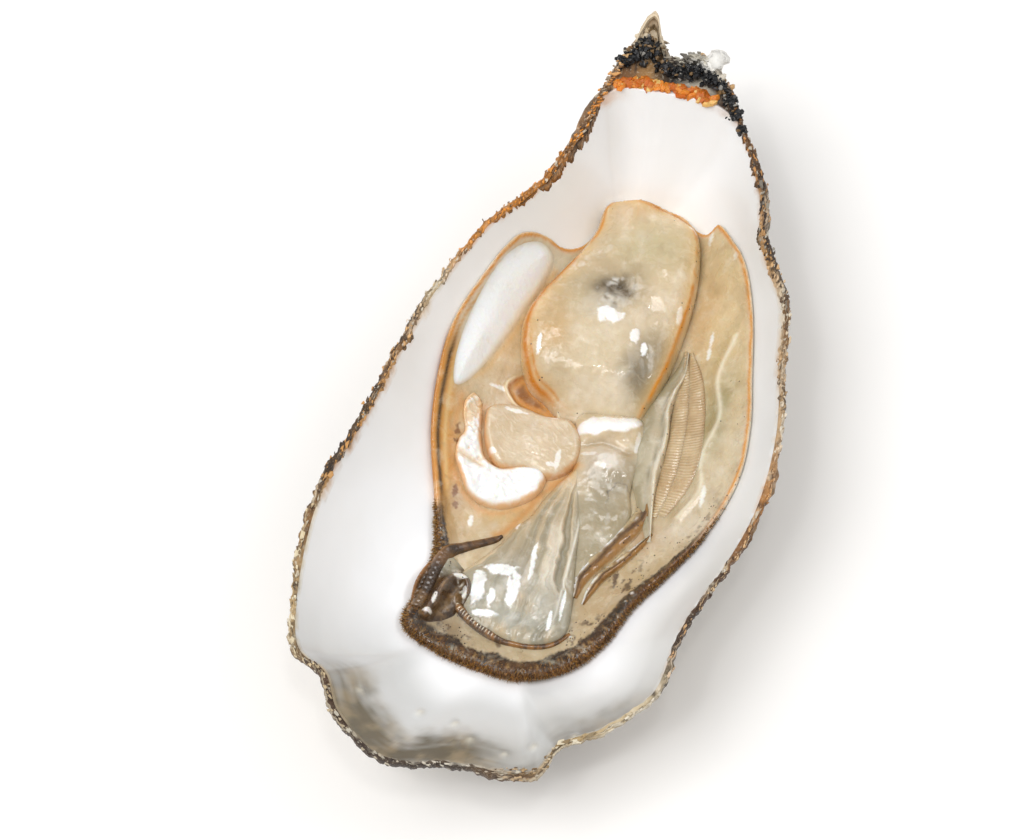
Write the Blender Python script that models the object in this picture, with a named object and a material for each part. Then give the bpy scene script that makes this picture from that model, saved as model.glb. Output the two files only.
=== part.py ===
"""Oyster on the half shell: the cupped valve, its hinge parts and the oyster that lies in it.

The long way of the shell runs along Y with the hinge at +Y, the bill at -Y and the open side up.
Sizes below are in millimetres; MM turns them into Blender's metres where a mesh is made.
"""
import math

import bmesh
import bpy
import numpy as np
from mathutils import Vector
from mathutils.bvhtree import BVHTree

MM = 0.001

# Driving sizes of the shell
SHELL_LENGTH = 110.0
SHELL_WIDTH = 58.8
RIM_HEIGHT = 22.0        # height of the rim at mid length
RIM_RISE = 0.05          # how much the rim climbs towards the hinge, per mm
RIM_THICKNESS = 0.9
FLOOR_THICKNESS = 5.0    # shell left under the middle of the bowl
HINGE_PLATE_START = 43.5  # Y where the nacre ends and the hinge plate begins
PLATE_DROP = 0.8         # the hinge plate lies this far below the rim
BASE_HALF_WIDTH = 8.5    # the flat spot that the shell rests on
BASE_SPINE_SCALE = 0.5
LAMELLA_STEP = 0.9       # how far each growth layer stands out at its edge
LAMELLA_ENDS = (0.17, 0.36, 0.56, 0.77)
BOWL_POWER = 2.9         # steepness of the bowl's side walls
BOWL_HINGE_EASE = 1.2
BOWL_BILL_EASE = 0.6
BOWL_EDGE = 0.965        # the bowl reaches its rim at this share of the way out

# Driving sizes of the oyster
CLEARANCE = 0.35         # gap between two pieces that touch
MANTLE_THICKNESS = 1.6
HINGE_GAP = 0.5          # gap under the hinge parts, on the uneven hinge plate

# How finely the solids are divided
SHELL_AROUND = 88
BOWL_RINGS = (0.07, 0.3, 0.5, 0.64, 0.76, 0.86, 0.94, 1.0)
PAD_AROUND = 26
PAD_RINGS = 4
RIBBON_STATIONS = 10
RIBBON_ACROSS = 5

# The spine of the bowl, from the bill end to the hinge end
SPINE_BILL = np.array((-3.0, -28.0))
SPINE_HINGE = np.array((4.0, 30.0))
SPINE_LENGTH = float(np.linalg.norm(SPINE_HINGE - SPINE_BILL))
SPINE_ALONG = (SPINE_HINGE - SPINE_BILL) / SPINE_LENGTH
SPINE_ACROSS = np.array((SPINE_ALONG[1], -SPINE_ALONG[0]))
END_TURN = 12.0          # weight given to the turn round each end of the spine
GIRTH = 2 * SPINE_LENGTH + 2 * math.pi * END_TURN

# The uneven edge of the shell, from the beak clockwise
RIM_POINTS = (
    (1.6, 55.0), (3.4, 51.6), (5.4, 49.0), (9.0, 50.4), (13.0, 47.6), (17.6, 40.0),
    (21.4, 32.2), (23.4, 24.0), (27.2, 16.5), (28.4, 7.0), (29.4, -3.0), (28.6, -13.0),
    (25.6, -22.0), (21.8, -31.0), (19.8, -40.0), (14.5, -45.6), (9.0, -49.0), (6.0, -53.6),
    (-4.0, -53.8), (-13.0, -55.0), (-20.0, -50.6), (-23.0, -45.6), (-27.6, -42.4),
    (-29.4, -32.0), (-29.0, -20.0), (-25.2, -9.0), (-23.0, 1.0), (-20.0, 10.6),
    (-15.6, 19.6), (-9.4, 28.2), (-5.2, 37.0), (-3.2, 44.0), (-0.6, 50.6))

# Outlines of the soft parts seen from above
MANTLE_OUTLINE = (
    (0.2, 34.3), (5.0, 35.2), (10.0, 34.2), (13.2, 32.3), (16.0, 31.6), (19.6, 25.5),
    (22.4, 18.0), (24.0, 8.0), (25.0, 0.0), (24.6, -8.0), (21.5, -15.5), (17.5, -21.0),
    (14.0, -25.5), (11.5, -30.5), (7.5, -34.5), (1.5, -37.0), (-6.5, -36.2), (-13.0, -34.3),
    (-15.4, -32.0), (-14.2, -27.0), (-13.4, -21.5), (-14.8, -15.0), (-17.0, -6.5),
    (-17.6, 2.0), (-16.8, 9.0), (-14.0, 16.5), (-11.5, 21.8), (-9.2, 24.3), (-6.5, 24.8),
    (-3.0, 26.6), (-1.2, 30.0))
BODY_OUTLINE = (
    (1.2, 33.2), (5.0, 34.0), (9.6, 33.0), (12.2, 30.6), (13.0, 26.5), (13.4, 20.0),
    (13.0, 14.0), (11.6, 8.5), (10.2, 4.6), (8.6, 2.4), (5.0, 2.6), (1.0, 2.2),
    (-2.0, 2.4), (-5.2, 5.2), (-7.4, 9.0), (-7.8, 13.0), (-6.4, 18.4), (-3.0, 24.0),
    (-0.6, 28.4))
ADDUCTOR_OUTLINE = (
    (-9.6, -0.7), (-6.5, 0.8), (-2.5, 0.1), (0.2, 0.4), (2.2, -1.8), (2.6, -4.4),
    (1.5, -7.2), (-0.4, -8.3), (-3.2, -7.7), (-6.0, -8.0), (-8.4, -7.3), (-9.8, -4.4))
INNER_FOLD_OUTLINE = (
    (3.7, 0.5), (6.4, 1.1), (9.0, 0.6), (9.4, -3.4), (9.2, -8.0), (9.6, -11.4),
    (8.0, -14.2), (6.2, -13.4), (4.9, -9.6), (3.6, -7.2), (3.9, -3.4))
VEIL_OUTLINE = (
    (1.8, -9.8), (-0.9, -12.2), (-2.8, -15.0), (-4.6, -18.6), (-7.2, -21.9), (-8.2, -23.2),
    (-6.3, -25.4), (-6.3, -29.2), (-3.4, -30.8), (2.0, -31.0), (5.6, -28.8), (5.1, -22.0),
    (4.6, -15.5), (3.6, -10.8))
CURL_OUTLINE = (
    (-8.8, -25.2), (-7.3, -26.6), (-7.4, -28.8), (-9.2, -30.8), (-11.2, -31.6),
    (-11.6, -30.2), (-10.6, -27.8), (-10.2, -26.0))

# Middle lines of the long, narrow soft parts and the two hinge parts, with half widths
CATCH_PATH = ((-11.6, 0.8, 0.7), (-12.1, -3.6, 1.5), (-10.9, -8.4, 1.6), (-7.6, -10.5, 1.5),
              (-3.8, -10.0, 1.3), (-0.9, -9.9, 0.6))
LOBE_PATH = ((-6.0, 22.6, 0.5), (-9.2, 18.6, 1.5), (-11.6, 12.8, 2.1), (-13.0, 7.0, 1.9),
             (-13.4, 2.6, 0.7))
GILL_INNER_PATH = ((14.5, 12.2, 0.4), (14.9, 7.0, 0.7), (14.9, 1.5, 0.8), (14.8, -4.0, 0.8),
                   (14.7, -8.4, 0.7), (14.8, -11.8, 0.4))
GILL_OUTER_PATH = ((16.6, 9.8, 0.4), (17.3, 5.0, 0.8), (17.6, 0.0, 0.9), (17.3, -4.6, 0.9),
                   (16.6, -9.0, 0.4))
LEAF_PATH = ((13.3, 11.2, 0.4), (12.9, 6.4, 0.6), (12.1, 1.0, 1.2), (11.8, -4.0, 1.5),
             (12.1, -8.4, 1.2), (13.1, -11.6, 0.4))
RIDGE_UPPER_PATH = ((11.3, -11.6, 0.4), (12.1, -13.2, 0.6), (11.1, -15.1, 0.6),
                    (9.3, -16.9, 0.6), (7.7, -18.9, 0.6), (6.8, -21.2, 0.4))
RIDGE_LOWER_PATH = ((14.4, -14.8, 0.4), (12.6, -16.7, 0.6), (10.7, -18.9, 0.6),
                    (8.6, -21.2, 0.6), (7.1, -23.6, 0.4))
RESILIUM_PATH = ((-0.8, 44.9, 0.4), (2.2, 45.2, 0.6), (5.0, 45.2, 0.6), (8.2, 45.3, 0.6),
                 (10.9, 45.0, 0.4))
LIGAMENT_PATH = ((-0.6, 47.3, 0.7), (2.0, 48.5, 1.5), (4.2, 47.5, 0.9), (7.0, 47.7, 1.0),
                 (10.0, 47.3, 1.0), (12.7, 45.9, 0.8), (14.2, 44.4, 0.5))
FOLD_LEFT_PATH = ((-5.9, -18.2, 0.4), (-8.2, -19.8, 0.6), (-10.3, -21.6, 0.6),
                  (-11.5, -23.6, 0.6), (-12.1, -26.0, 0.6), (-12.6, -28.4, 0.4))


# ---------------------------------------------------------------- curves and surfaces

def smooth_line(points, count, closed):
    """Points evenly spaced along the Catmull-Rom curve through the given ones."""
    given = np.asarray(points, float)
    if not closed:
        given = np.vstack([2 * given[0] - given[1], given, 2 * given[-1] - given[-2]])
    spans = range(len(given)) if closed else range(1, len(given) - 2)
    steps = np.arange(16)[:, None] / 16
    dense = []
    for k in spans:
        before, start, end, after = (given[(k + j) % len(given)] for j in (-1, 0, 1, 2))
        dense.append(0.5 * (2 * start + (end - before) * steps
                            + (2 * before - 5 * start + 4 * end - after) * steps ** 2
                            + (3 * start - before - 3 * end + after) * steps ** 3))
    dense = np.vstack(dense + [given[:1] if closed else given[-2:-1]])
    walked = np.r_[0, np.cumsum(np.linalg.norm(np.diff(dense[:, :2], axis=0), axis=1))]
    wanted = np.linspace(0, walked[-1], count, endpoint=not closed)
    return np.stack([np.interp(wanted, walked, column) for column in dense.T], axis=1)


def fit_to_size(outline):
    """The outline stretched to the shell's length and width and centred on the origin."""
    low = outline.min(axis=0)
    high = outline.max(axis=0)
    return (outline - (low + high) / 2) * (SHELL_WIDTH, SHELL_LENGTH) / (high - low)


def round_the_spine(points):
    """Each point's place round the spine, its distance from it, and the way out."""
    offset = points - SPINE_BILL
    along = offset @ SPINE_ALONG
    across = offset @ SPINE_ACROSS
    foot = SPINE_BILL + np.clip(along, 0, SPINE_LENGTH)[:, None] * SPINE_ALONG
    distance = np.linalg.norm(points - foot, axis=1)
    outward = (points - foot) / np.maximum(distance, 1e-9)[:, None]
    far_side = 2 * SPINE_LENGTH + math.pi * END_TURN
    place = np.where(across >= 0, np.clip(along, 0, SPINE_LENGTH), far_side - along)
    hinge_turn = np.arctan2(along - SPINE_LENGTH, across)
    bill_turn = np.arctan2(-along, -across)
    place = np.where(along > SPINE_LENGTH, SPINE_LENGTH + END_TURN * hinge_turn, place)
    place = np.where(along < 0, far_side + END_TURN * bill_turn, place)
    return place, distance, foot, outward


def rim_height(place, rim):
    """Height of the wavy rim, a little higher at the hinge and highest at the beak."""
    turn = 2 * math.pi * place / GIRTH
    wave = 0.7 * np.sin(3 * turn + 0.6) + 0.5 * np.sin(7 * turn + 2.0)
    beak = 1.2 * np.clip((rim[:, 1] - 50) / 5, 0, 1)
    return RIM_HEIGHT + RIM_RISE * rim[:, 1] + wave + beak


def bowl_height(share, outward, edge_height):
    """Height of the bowl at a share of the way from the spine to the bowl's edge."""
    lean = outward @ SPINE_ALONG
    ease = np.where(lean > 0, BOWL_HINGE_EASE, BOWL_BILL_EASE)
    power = BOWL_POWER - ease * lean ** 2
    return FLOOR_THICKNESS + (edge_height - FLOOR_THICKNESS) * share ** power


# ---------------------------------------------------------------- making meshes

def principled(name, colour, roughness, metallic=0.0):
    material = bpy.data.materials.new(name)
    material.use_nodes = True
    shader = material.node_tree.nodes["Principled BSDF"]
    shader.inputs["Base Color"].default_value = (*colour, 1.0)
    shader.inputs["Roughness"].default_value = roughness
    shader.inputs["Metallic"].default_value = metallic
    return material


def solid_from_rings(name, rings, material):
    """A closed body lofted through rings of equal count, with a fan over each end."""
    mesh = bpy.data.meshes.new(name)
    body = bmesh.new()
    rows = [[body.verts.new(Vector(point) * MM) for point in ring] for ring in rings]
    count = len(rows[0])
    for lower, upper in zip(rows, rows[1:]):
        for k in range(count):
            following = (k + 1) % count
            body.faces.new((lower[k], lower[following], upper[following], upper[k]))
    for row, ring in ((rows[0], rings[0]), (rows[-1], rings[-1])):
        middle = body.verts.new(Vector(np.mean(ring, axis=0)) * MM)
        for k in range(count):
            body.faces.new((row[k], row[(k + 1) % count], middle))
    bmesh.ops.triangulate(body, faces=body.faces[:])
    bmesh.ops.recalc_face_normals(body, faces=body.faces[:])
    body.to_mesh(mesh)
    body.free()
    mesh.materials.append(material)
    mesh.shade_smooth()
    mesh.set_sharp_from_angle(angle=math.radians(40))
    thing = bpy.data.objects.new(name, mesh)
    PIECES.objects.link(thing)
    return thing


def surface_of(thing):
    """A lookup of the top surface of a finished piece."""
    body = bmesh.new()
    body.from_mesh(thing.data)
    tree = BVHTree.FromBMesh(body)
    body.free()
    return tree


def height_on(surface, points):
    """Height of a surface straight below each point."""
    heights = []
    for x, y in points[:, :2]:
        hit = surface.ray_cast(Vector((x * MM, y * MM, 1.0)), Vector((0, 0, -1)))[0]
        if hit is None:
            raise ValueError(f"nothing lies under ({x:.1f}, {y:.1f})")
        heights.append(hit.z / MM)
    return np.array(heights)


def pad(name, outline, surface, edge, crown, material, around=PAD_AROUND, rings=PAD_RINGS,
        top=None):
    """A soft body lying on a surface: edge thick at its outline, crown thick in the middle."""
    border = smooth_line(outline, around, closed=True)
    middle = border.mean(axis=0)
    shares = np.linspace(0.12, 1.0, rings)
    lower, upper = [], []
    for share in shares:
        plan = middle + share * (border - middle)
        under = height_on(surface, plan) + CLEARANCE
        thickness = edge + (crown - edge) * math.sqrt(max(0.0, 1 - share ** 2.4))
        over = under + thickness
        if top is not None:
            over = over + top(plan, share)
        lower.append(np.c_[plan, under])
        upper.append(np.c_[plan, over])
    return solid_from_rings(name, lower + upper[::-1], material)


def ribbon(name, path, surface, edge, crown, material, gap=CLEARANCE):
    """A long narrow soft body lying on a surface, rounded across its top."""
    line = smooth_line(path, RIBBON_STATIONS, closed=False)
    plan = line[:, :2]
    along = np.gradient(plan, axis=0)
    along /= np.linalg.norm(along, axis=1)[:, None]
    across = np.c_[along[:, 1], -along[:, 0]]
    offsets = np.linspace(-1, 1, RIBBON_ACROSS)
    rings = []
    for station in range(RIBBON_STATIONS):
        points = plan[station] + offsets[:, None] * line[station, 2] * across[station]
        under = height_on(surface, points) + gap
        fullness = math.sin(math.pi * (0.12 + 0.76 * station / (RIBBON_STATIONS - 1)))
        over = under + edge + (crown - edge) * fullness * np.sqrt(1 - offsets ** 2)
        rings.append(np.vstack([np.c_[points, under], np.c_[points, over][::-1]]))
    return solid_from_rings(name, rings, material)


# ---------------------------------------------------------------- the pieces

def make_shell(material):
    """The cupped valve: bowl, hinge plate, thin wavy rim and stepped outside."""
    rim = fit_to_size(smooth_line(RIM_POINTS, SHELL_AROUND, closed=True))
    place, reach, foot, outward = round_the_spine(rim)
    top = rim_height(place, rim)
    at_hinge = rim[:, 1] > HINGE_PLATE_START
    to_plate = (HINGE_PLATE_START - foot[:, 1]) / np.maximum(rim[:, 1] - foot[:, 1], 1e-6)
    edge = np.where(at_hinge, np.minimum(BOWL_EDGE, to_plate), BOWL_EDGE)
    edge_height = top - np.where(at_hinge, PLATE_DROP, 0.4)

    rings = []
    for share in BOWL_RINGS:
        plan = foot + (outward * (reach * edge * share)[:, None])
        rings.append(np.c_[plan, bowl_height(share, outward, edge_height)])
    plate_edge = foot + outward * (reach * (edge + BOWL_EDGE) / 2 + 0.2)[:, None]
    rings.append(np.c_[plate_edge, edge_height + 0.1])
    rings.append(np.c_[rim - 0.5 * outward, top])
    rings.append(np.c_[rim, top - RIM_THICKNESS])

    base = BASE_SPINE_SCALE * foot + BASE_HALF_WIDTH * outward
    steps = [(0.9, 0.3)]
    for end in reversed(LAMELLA_ENDS):
        steps += [(end + 0.035, 0.0), (end, LAMELLA_STEP)]
    for climb, stand_out in steps:
        plan = base + climb * (rim - base) + stand_out * outward
        rings.append(np.c_[plan, (top - RIM_THICKNESS) * climb ** 1.5])
    rings.append(np.c_[base, np.zeros(SHELL_AROUND)])
    return solid_from_rings("shell_cup", rings, material)


def body_relief(plan, share):
    """The body stands highest towards the hinge and sinks a little at its dark hollow."""
    hollow = np.hypot(plan[:, 0] - 3.0, plan[:, 1] - 19.0)
    return (1 - share) * (0.6 - 1.2 * np.exp(-(hollow / 3.0) ** 2))


def make_oyster(shell):
    """The oyster's soft parts, laid on the mantle that lines the bowl."""
    bowl = surface_of(shell)
    cream = principled("mantle_cream", (0.76, 0.66, 0.47), 0.3)
    mantle = pad("mantle_skirt", MANTLE_OUTLINE, bowl, 1.2, MANTLE_THICKNESS, cream,
                 around=60, rings=7)
    bed = surface_of(mantle)

    body_flesh = principled("body_flesh", (0.83, 0.70, 0.50), 0.28)
    muscle = principled("muscle_flesh", (0.85, 0.66, 0.50), 0.3)
    white = principled("catch_white", (0.93, 0.90, 0.84), 0.25)
    gill = principled("gill_beige", (0.68, 0.56, 0.38), 0.35)
    leaf = principled("leaf_grey", (0.60, 0.57, 0.43), 0.35)
    veil = principled("veil_cream", (0.82, 0.77, 0.64), 0.25)
    dark = principled("dark_fringe", (0.10, 0.065, 0.035), 0.4)
    ridge = principled("ridge_brown", (0.42, 0.27, 0.12), 0.35)

    pad("body_mound", BODY_OUTLINE, bed, 2.0, 8.0, body_flesh, around=40, rings=6,
        top=body_relief)
    pad("adductor_muscle", ADDUCTOR_OUTLINE, bed, 3.0, 4.8, muscle)
    pad("inner_fold", INNER_FOLD_OUTLINE, bed, 1.4, 3.6, veil)
    pad("mantle_veil", VEIL_OUTLINE, bed, 1.0, 3.6, veil)
    pad("mantle_curl", CURL_OUTLINE, bed, 1.0, 2.6, dark, around=20)
    ribbon("catch_muscle", CATCH_PATH, bed, 1.6, 3.6, white)
    ribbon("mantle_lobe_left", LOBE_PATH, bed, 0.6, 2.0, white)
    ribbon("gill_strip_inner", GILL_INNER_PATH, bed, 0.8, 2.4, gill)
    ribbon("gill_strip_outer", GILL_OUTER_PATH, bed, 0.8, 2.0, gill)
    ribbon("gill_leaf", LEAF_PATH, bed, 1.0, 4.0, leaf)
    ribbon("mantle_ridge_upper", RIDGE_UPPER_PATH, bed, 0.8, 2.0, ridge)
    ribbon("mantle_ridge_lower", RIDGE_LOWER_PATH, bed, 0.6, 1.6, ridge)
    ribbon("mantle_fold_left", FOLD_LEFT_PATH, bed, 0.8, 2.2, dark)


def make_hinge(shell):
    """The crumbly black ligament and the orange resilium on the hinge plate."""
    plate = surface_of(shell)
    black = principled("ligament_black", (0.02, 0.02, 0.025), 0.7)
    orange = principled("resilium_orange", (0.85, 0.30, 0.05), 0.45)
    ribbon("hinge_ligament", LIGAMENT_PATH, plate, 0.8, 1.9, black, gap=HINGE_GAP)
    ribbon("hinge_resilium", RESILIUM_PATH, plate, 0.5, 1.0, orange, gap=HINGE_GAP)


for leftover in list(bpy.data.objects):
    bpy.data.objects.remove(leftover, do_unlink=True)

PIECES = bpy.data.collections.new("oyster_on_the_half_shell")
bpy.context.scene.collection.children.link(PIECES)

cup = make_shell(principled("shell_nacre", (0.90, 0.90, 0.87), 0.3))
make_hinge(cup)
make_oyster(cup)
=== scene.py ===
"""The looks of an oyster on the half shell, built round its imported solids.

The hinge is at +Y, the bill at -Y and the open side is up. Shapes are worked out in
millimetres, and MM turns them into metres where a mesh is made.
"""

import math

import bmesh
import bpy
import numpy as np
from mathutils import Matrix, Vector
from mathutils.geometry import delaunay_2d_cdt
from mathutils.kdtree import KDTree


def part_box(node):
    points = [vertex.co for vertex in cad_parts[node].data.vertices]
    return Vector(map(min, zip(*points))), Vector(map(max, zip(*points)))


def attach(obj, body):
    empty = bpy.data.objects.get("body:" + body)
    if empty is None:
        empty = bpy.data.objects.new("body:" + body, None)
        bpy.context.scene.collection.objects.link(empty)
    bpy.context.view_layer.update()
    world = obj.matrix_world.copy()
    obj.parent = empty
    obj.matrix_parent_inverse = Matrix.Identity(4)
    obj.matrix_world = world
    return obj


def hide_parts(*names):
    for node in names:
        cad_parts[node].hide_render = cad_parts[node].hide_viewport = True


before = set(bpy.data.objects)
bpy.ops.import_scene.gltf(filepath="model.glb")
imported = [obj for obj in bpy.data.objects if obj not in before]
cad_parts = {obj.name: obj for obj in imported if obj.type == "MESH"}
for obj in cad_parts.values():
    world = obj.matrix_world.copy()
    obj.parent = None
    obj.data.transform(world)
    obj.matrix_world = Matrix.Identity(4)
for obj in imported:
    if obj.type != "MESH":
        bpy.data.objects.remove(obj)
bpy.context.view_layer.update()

MM = 0.001

# ---------------------------------------------------------------- sizes shared with the solids

SHELL_WIDTH, SHELL_LENGTH = ((high - low) / MM for low, high in
                             list(zip(*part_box("shell_cup")))[:2])
RIM_HEIGHT = 22.0
RIM_RISE = 0.05
FLOOR_THICKNESS = 5.0
HINGE_PLATE_START = 43.5
PLATE_DROP = 0.8
BASE_HALF_WIDTH = 8.5
BASE_SPINE_SCALE = 0.5
BOWL_POWER = 2.9
BOWL_HINGE_EASE = 1.2
BOWL_BILL_EASE = 0.6
BOWL_EDGE = 0.965

SPINE_BILL = np.array((-3.0, -28.0))
SPINE_HINGE = np.array((4.0, 30.0))
SPINE_LENGTH = float(np.linalg.norm(SPINE_HINGE - SPINE_BILL))
SPINE_ALONG = (SPINE_HINGE - SPINE_BILL) / SPINE_LENGTH
SPINE_ACROSS = np.array((SPINE_ALONG[1], -SPINE_ALONG[0]))
END_TURN = 12.0
GIRTH = 2 * SPINE_LENGTH + 2 * math.pi * END_TURN

RIM_POINTS = (
    (1.6, 55.0), (3.4, 51.6), (5.4, 49.0), (9.0, 50.4), (13.0, 47.6), (17.6, 40.0),
    (21.4, 32.2), (23.4, 24.0), (27.2, 16.5), (28.4, 7.0), (29.4, -3.0), (28.6, -13.0),
    (25.6, -22.0), (21.8, -31.0), (19.8, -40.0), (14.5, -45.6), (9.0, -49.0), (6.0, -53.6),
    (-4.0, -53.8), (-13.0, -55.0), (-20.0, -50.6), (-23.0, -45.6), (-27.6, -42.4),
    (-29.4, -32.0), (-29.0, -20.0), (-25.2, -9.0), (-23.0, 1.0), (-20.0, 10.6),
    (-15.6, 19.6), (-9.4, 28.2), (-5.2, 37.0), (-3.2, 44.0), (-0.6, 50.6))


# ---------------------------------------------------------------- small tools

def paint(red, green, blue):
    """A colour as a painter mixes it on screen, 0 to 255, turned into linear light."""
    tones = np.array((red, green, blue)) / 255
    return np.where(tones <= 0.04045, tones / 12.92, ((tones + 0.055) / 1.055) ** 2.4)


def smooth(low, high, value):
    """0 below low, 1 above high and an easy climb between."""
    t = np.clip((value - low) / (high - low), 0, 1)
    return t * t * (3 - 2 * t)


def blend(first, second, share):
    """Two colours or fields of colour mixed, with share 1 giving the second."""
    share = np.asarray(share)[..., None]
    return first * (1 - share) + second * share


def layered(colour, *coats):
    """A colour under further coats, each with its own colour and strength."""
    for tone, strength in coats:
        colour = blend(colour, tone, strength)
    return colour


def grain(x, y, size, seed):
    """A smooth random field between -1 and 1 with bumps of about the given size."""
    table = np.random.default_rng(seed).uniform(-1, 1, (128, 128))
    u = x / size + 31.7
    v = y / size + 17.3
    i = np.floor(u).astype(int)
    j = np.floor(v).astype(int)
    a = (u - i) ** 2 * (3 - 2 * (u - i))
    b = (v - j) ** 2 * (3 - 2 * (v - j))

    def corner(di, dj):
        return table[(i + di) % 128, (j + dj) % 128]

    near = corner(0, 0) * (1 - a) + corner(1, 0) * a
    far = corner(0, 1) * (1 - a) + corner(1, 1) * a
    return near * (1 - b) + far * b


def rough(x, y, size, seed, layers=4):
    """Several grains of halving size, added up to a field between about -1 and 1."""
    total = sum(grain(x, y, size / 2 ** k, seed + k) / 2 ** k for k in range(layers))
    return total / (2 - 0.5 ** (layers - 1))


def smooth_line(points, count, closed):
    """Points evenly spaced along the Catmull-Rom curve through the given ones.

    A count below 1 is a spacing in mm instead.
    """
    given = np.asarray(points, float)
    if not closed:
        given = np.vstack([2 * given[0] - given[1], given, 2 * given[-1] - given[-2]])
    spans = range(len(given)) if closed else range(1, len(given) - 2)
    steps = np.arange(16)[:, None] / 16
    dense = []
    for k in spans:
        before, start, end, after = (given[(k + j) % len(given)] for j in (-1, 0, 1, 2))
        dense.append(0.5 * (2 * start + (end - before) * steps
                            + (2 * before - 5 * start + 4 * end - after) * steps ** 2
                            + (3 * start - before - 3 * end + after) * steps ** 3))
    dense = np.vstack(dense + [given[:1] if closed else given[-2:-1]])
    walked = np.r_[0, np.cumsum(np.linalg.norm(np.diff(dense[:, :2], axis=0), axis=1))]
    if count < 1:
        count = int(walked[-1] / count)
    wanted = np.linspace(0, walked[-1], count, endpoint=not closed)
    return np.stack([np.interp(wanted, walked, column) for column in dense.T], axis=1)


def unit(vectors):
    return vectors / np.maximum(np.linalg.norm(vectors, axis=-1, keepdims=True), 1e-9)


# ---------------------------------------------------------------- the bowl's form

def round_the_spine(points):
    """Each point's place round the spine, its distance from it, and the way out."""
    offset = points - SPINE_BILL
    along = offset @ SPINE_ALONG
    across = offset @ SPINE_ACROSS
    foot = SPINE_BILL + np.clip(along, 0, SPINE_LENGTH)[:, None] * SPINE_ALONG
    distance = np.linalg.norm(points - foot, axis=1)
    outward = (points - foot) / np.maximum(distance, 1e-9)[:, None]
    far_side = 2 * SPINE_LENGTH + math.pi * END_TURN
    place = np.where(across >= 0, np.clip(along, 0, SPINE_LENGTH), far_side - along)
    hinge_turn = np.arctan2(along - SPINE_LENGTH, across)
    bill_turn = np.arctan2(-along, -across)
    place = np.where(along > SPINE_LENGTH, SPINE_LENGTH + END_TURN * hinge_turn, place)
    place = np.where(along < 0, far_side + END_TURN * bill_turn, place)
    return place, distance, foot, outward


def shell_outline(count):
    """The shell's edge seen from above, at its full length and width."""
    outline = smooth_line(RIM_POINTS, count, closed=True)
    low = outline.min(axis=0)
    high = outline.max(axis=0)
    return (outline - (low + high) / 2) * (SHELL_WIDTH, SHELL_LENGTH) / (high - low)


def rim_height(place, rim):
    """Height of the wavy rim, a little higher at the hinge and highest at the beak."""
    turn = 2 * math.pi * place / GIRTH
    wave = 0.7 * np.sin(3 * turn + 0.6) + 0.5 * np.sin(7 * turn + 2.0)
    beak = 1.2 * np.clip((rim[:, 1] - 50) / 5, 0, 1)
    return RIM_HEIGHT + RIM_RISE * rim[:, 1] + wave + beak


def bowl_height(share, outward, edge_height):
    """Height of the bowl at a share of the way from the spine to the bowl's edge."""
    lean = outward @ SPINE_ALONG
    ease = np.where(lean > 0, BOWL_HINGE_EASE, BOWL_BILL_EASE)
    power = BOWL_POWER - ease * lean ** 2
    return FLOOR_THICKNESS + (edge_height - FLOOR_THICKNESS) * share ** power


def eased(values):
    """Values round a closed outline, averaged over a short stretch, three times."""
    width = max(3, len(values) // 72)
    kernel = np.ones(2 * width + 1) / (2 * width + 1)
    for _ in range(3):
        ringed = np.r_[values[-width:], values, values[:width]]
        values = np.convolve(ringed, kernel, mode="valid")
    return values


def bowl_edge(rim, place, foot, reach):
    """Round an outline: how far out the bowl ends, its height there, and the hinge's share."""
    at_hinge = rim[:, 1] > HINGE_PLATE_START
    to_plate = (HINGE_PLATE_START - foot[:, 1]) / np.maximum(rim[:, 1] - foot[:, 1], 1e-6)
    share = np.where(at_hinge, np.minimum(BOWL_EDGE, to_plate), BOWL_EDGE)
    hinge = eased(at_hinge.astype(float))
    way = reach * share
    way = way + (eased(way) - way) * smooth(0.0, 0.6, hinge)
    low_rim = np.c_[rim[:, 0], np.minimum(rim[:, 1], 46)]
    height = rim_height(place, low_rim) - 0.4 - (PLATE_DROP - 0.4) * hinge
    return way, height, hinge


class Bowl:
    """The bowl as a surface that can be asked for its height under any point."""

    def __init__(self):
        rim = shell_outline(1440)
        self.place, reach, foot, _ = round_the_spine(rim)
        self.way, self.edge_height, _ = bowl_edge(rim, self.place, foot, reach)
        self.order = np.argsort(self.place)

    def around(self, place, values):
        return np.interp(place, self.place[self.order], values[self.order], period=GIRTH)

    def height(self, points):
        place, distance, _, outward = round_the_spine(points)
        share = distance / self.around(place, self.way)
        edge_height = self.around(place, self.edge_height)
        return bowl_height(np.minimum(share, 1), outward, edge_height)


BOWL = Bowl()


# ---------------------------------------------------------------- making meshes

def add_object(name, points, faces, tint=None, fields=None, flat=False, closed=True):
    """An object from points in millimetres, with painted fields and faces that look outward."""
    mesh = bpy.data.meshes.new(name)
    mesh.from_pydata((np.asarray(points) * MM).tolist(), [], [list(face) for face in faces])
    if tint is not None:
        layer = mesh.attributes.new("tint", "FLOAT_COLOR", "POINT")
        rgba = np.c_[np.clip(tint, 0, 1), np.ones(len(tint))]
        layer.data.foreach_set("color", rgba.astype(np.float32).ravel())
    for label, values in (fields or {}).items():
        layer = mesh.attributes.new(label, "FLOAT", "POINT")
        layer.data.foreach_set("value", np.asarray(values, np.float32))
    if flat:
        mesh.shade_flat()
    else:
        mesh.shade_smooth()
    thing = bpy.data.objects.new(name, mesh)
    bpy.context.scene.collection.objects.link(thing)
    if closed:
        body = bmesh.new()
        body.from_mesh(mesh)
        bmesh.ops.recalc_face_normals(body, faces=body.faces[:])
        body.to_mesh(mesh)
        body.free()
    return thing


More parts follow.
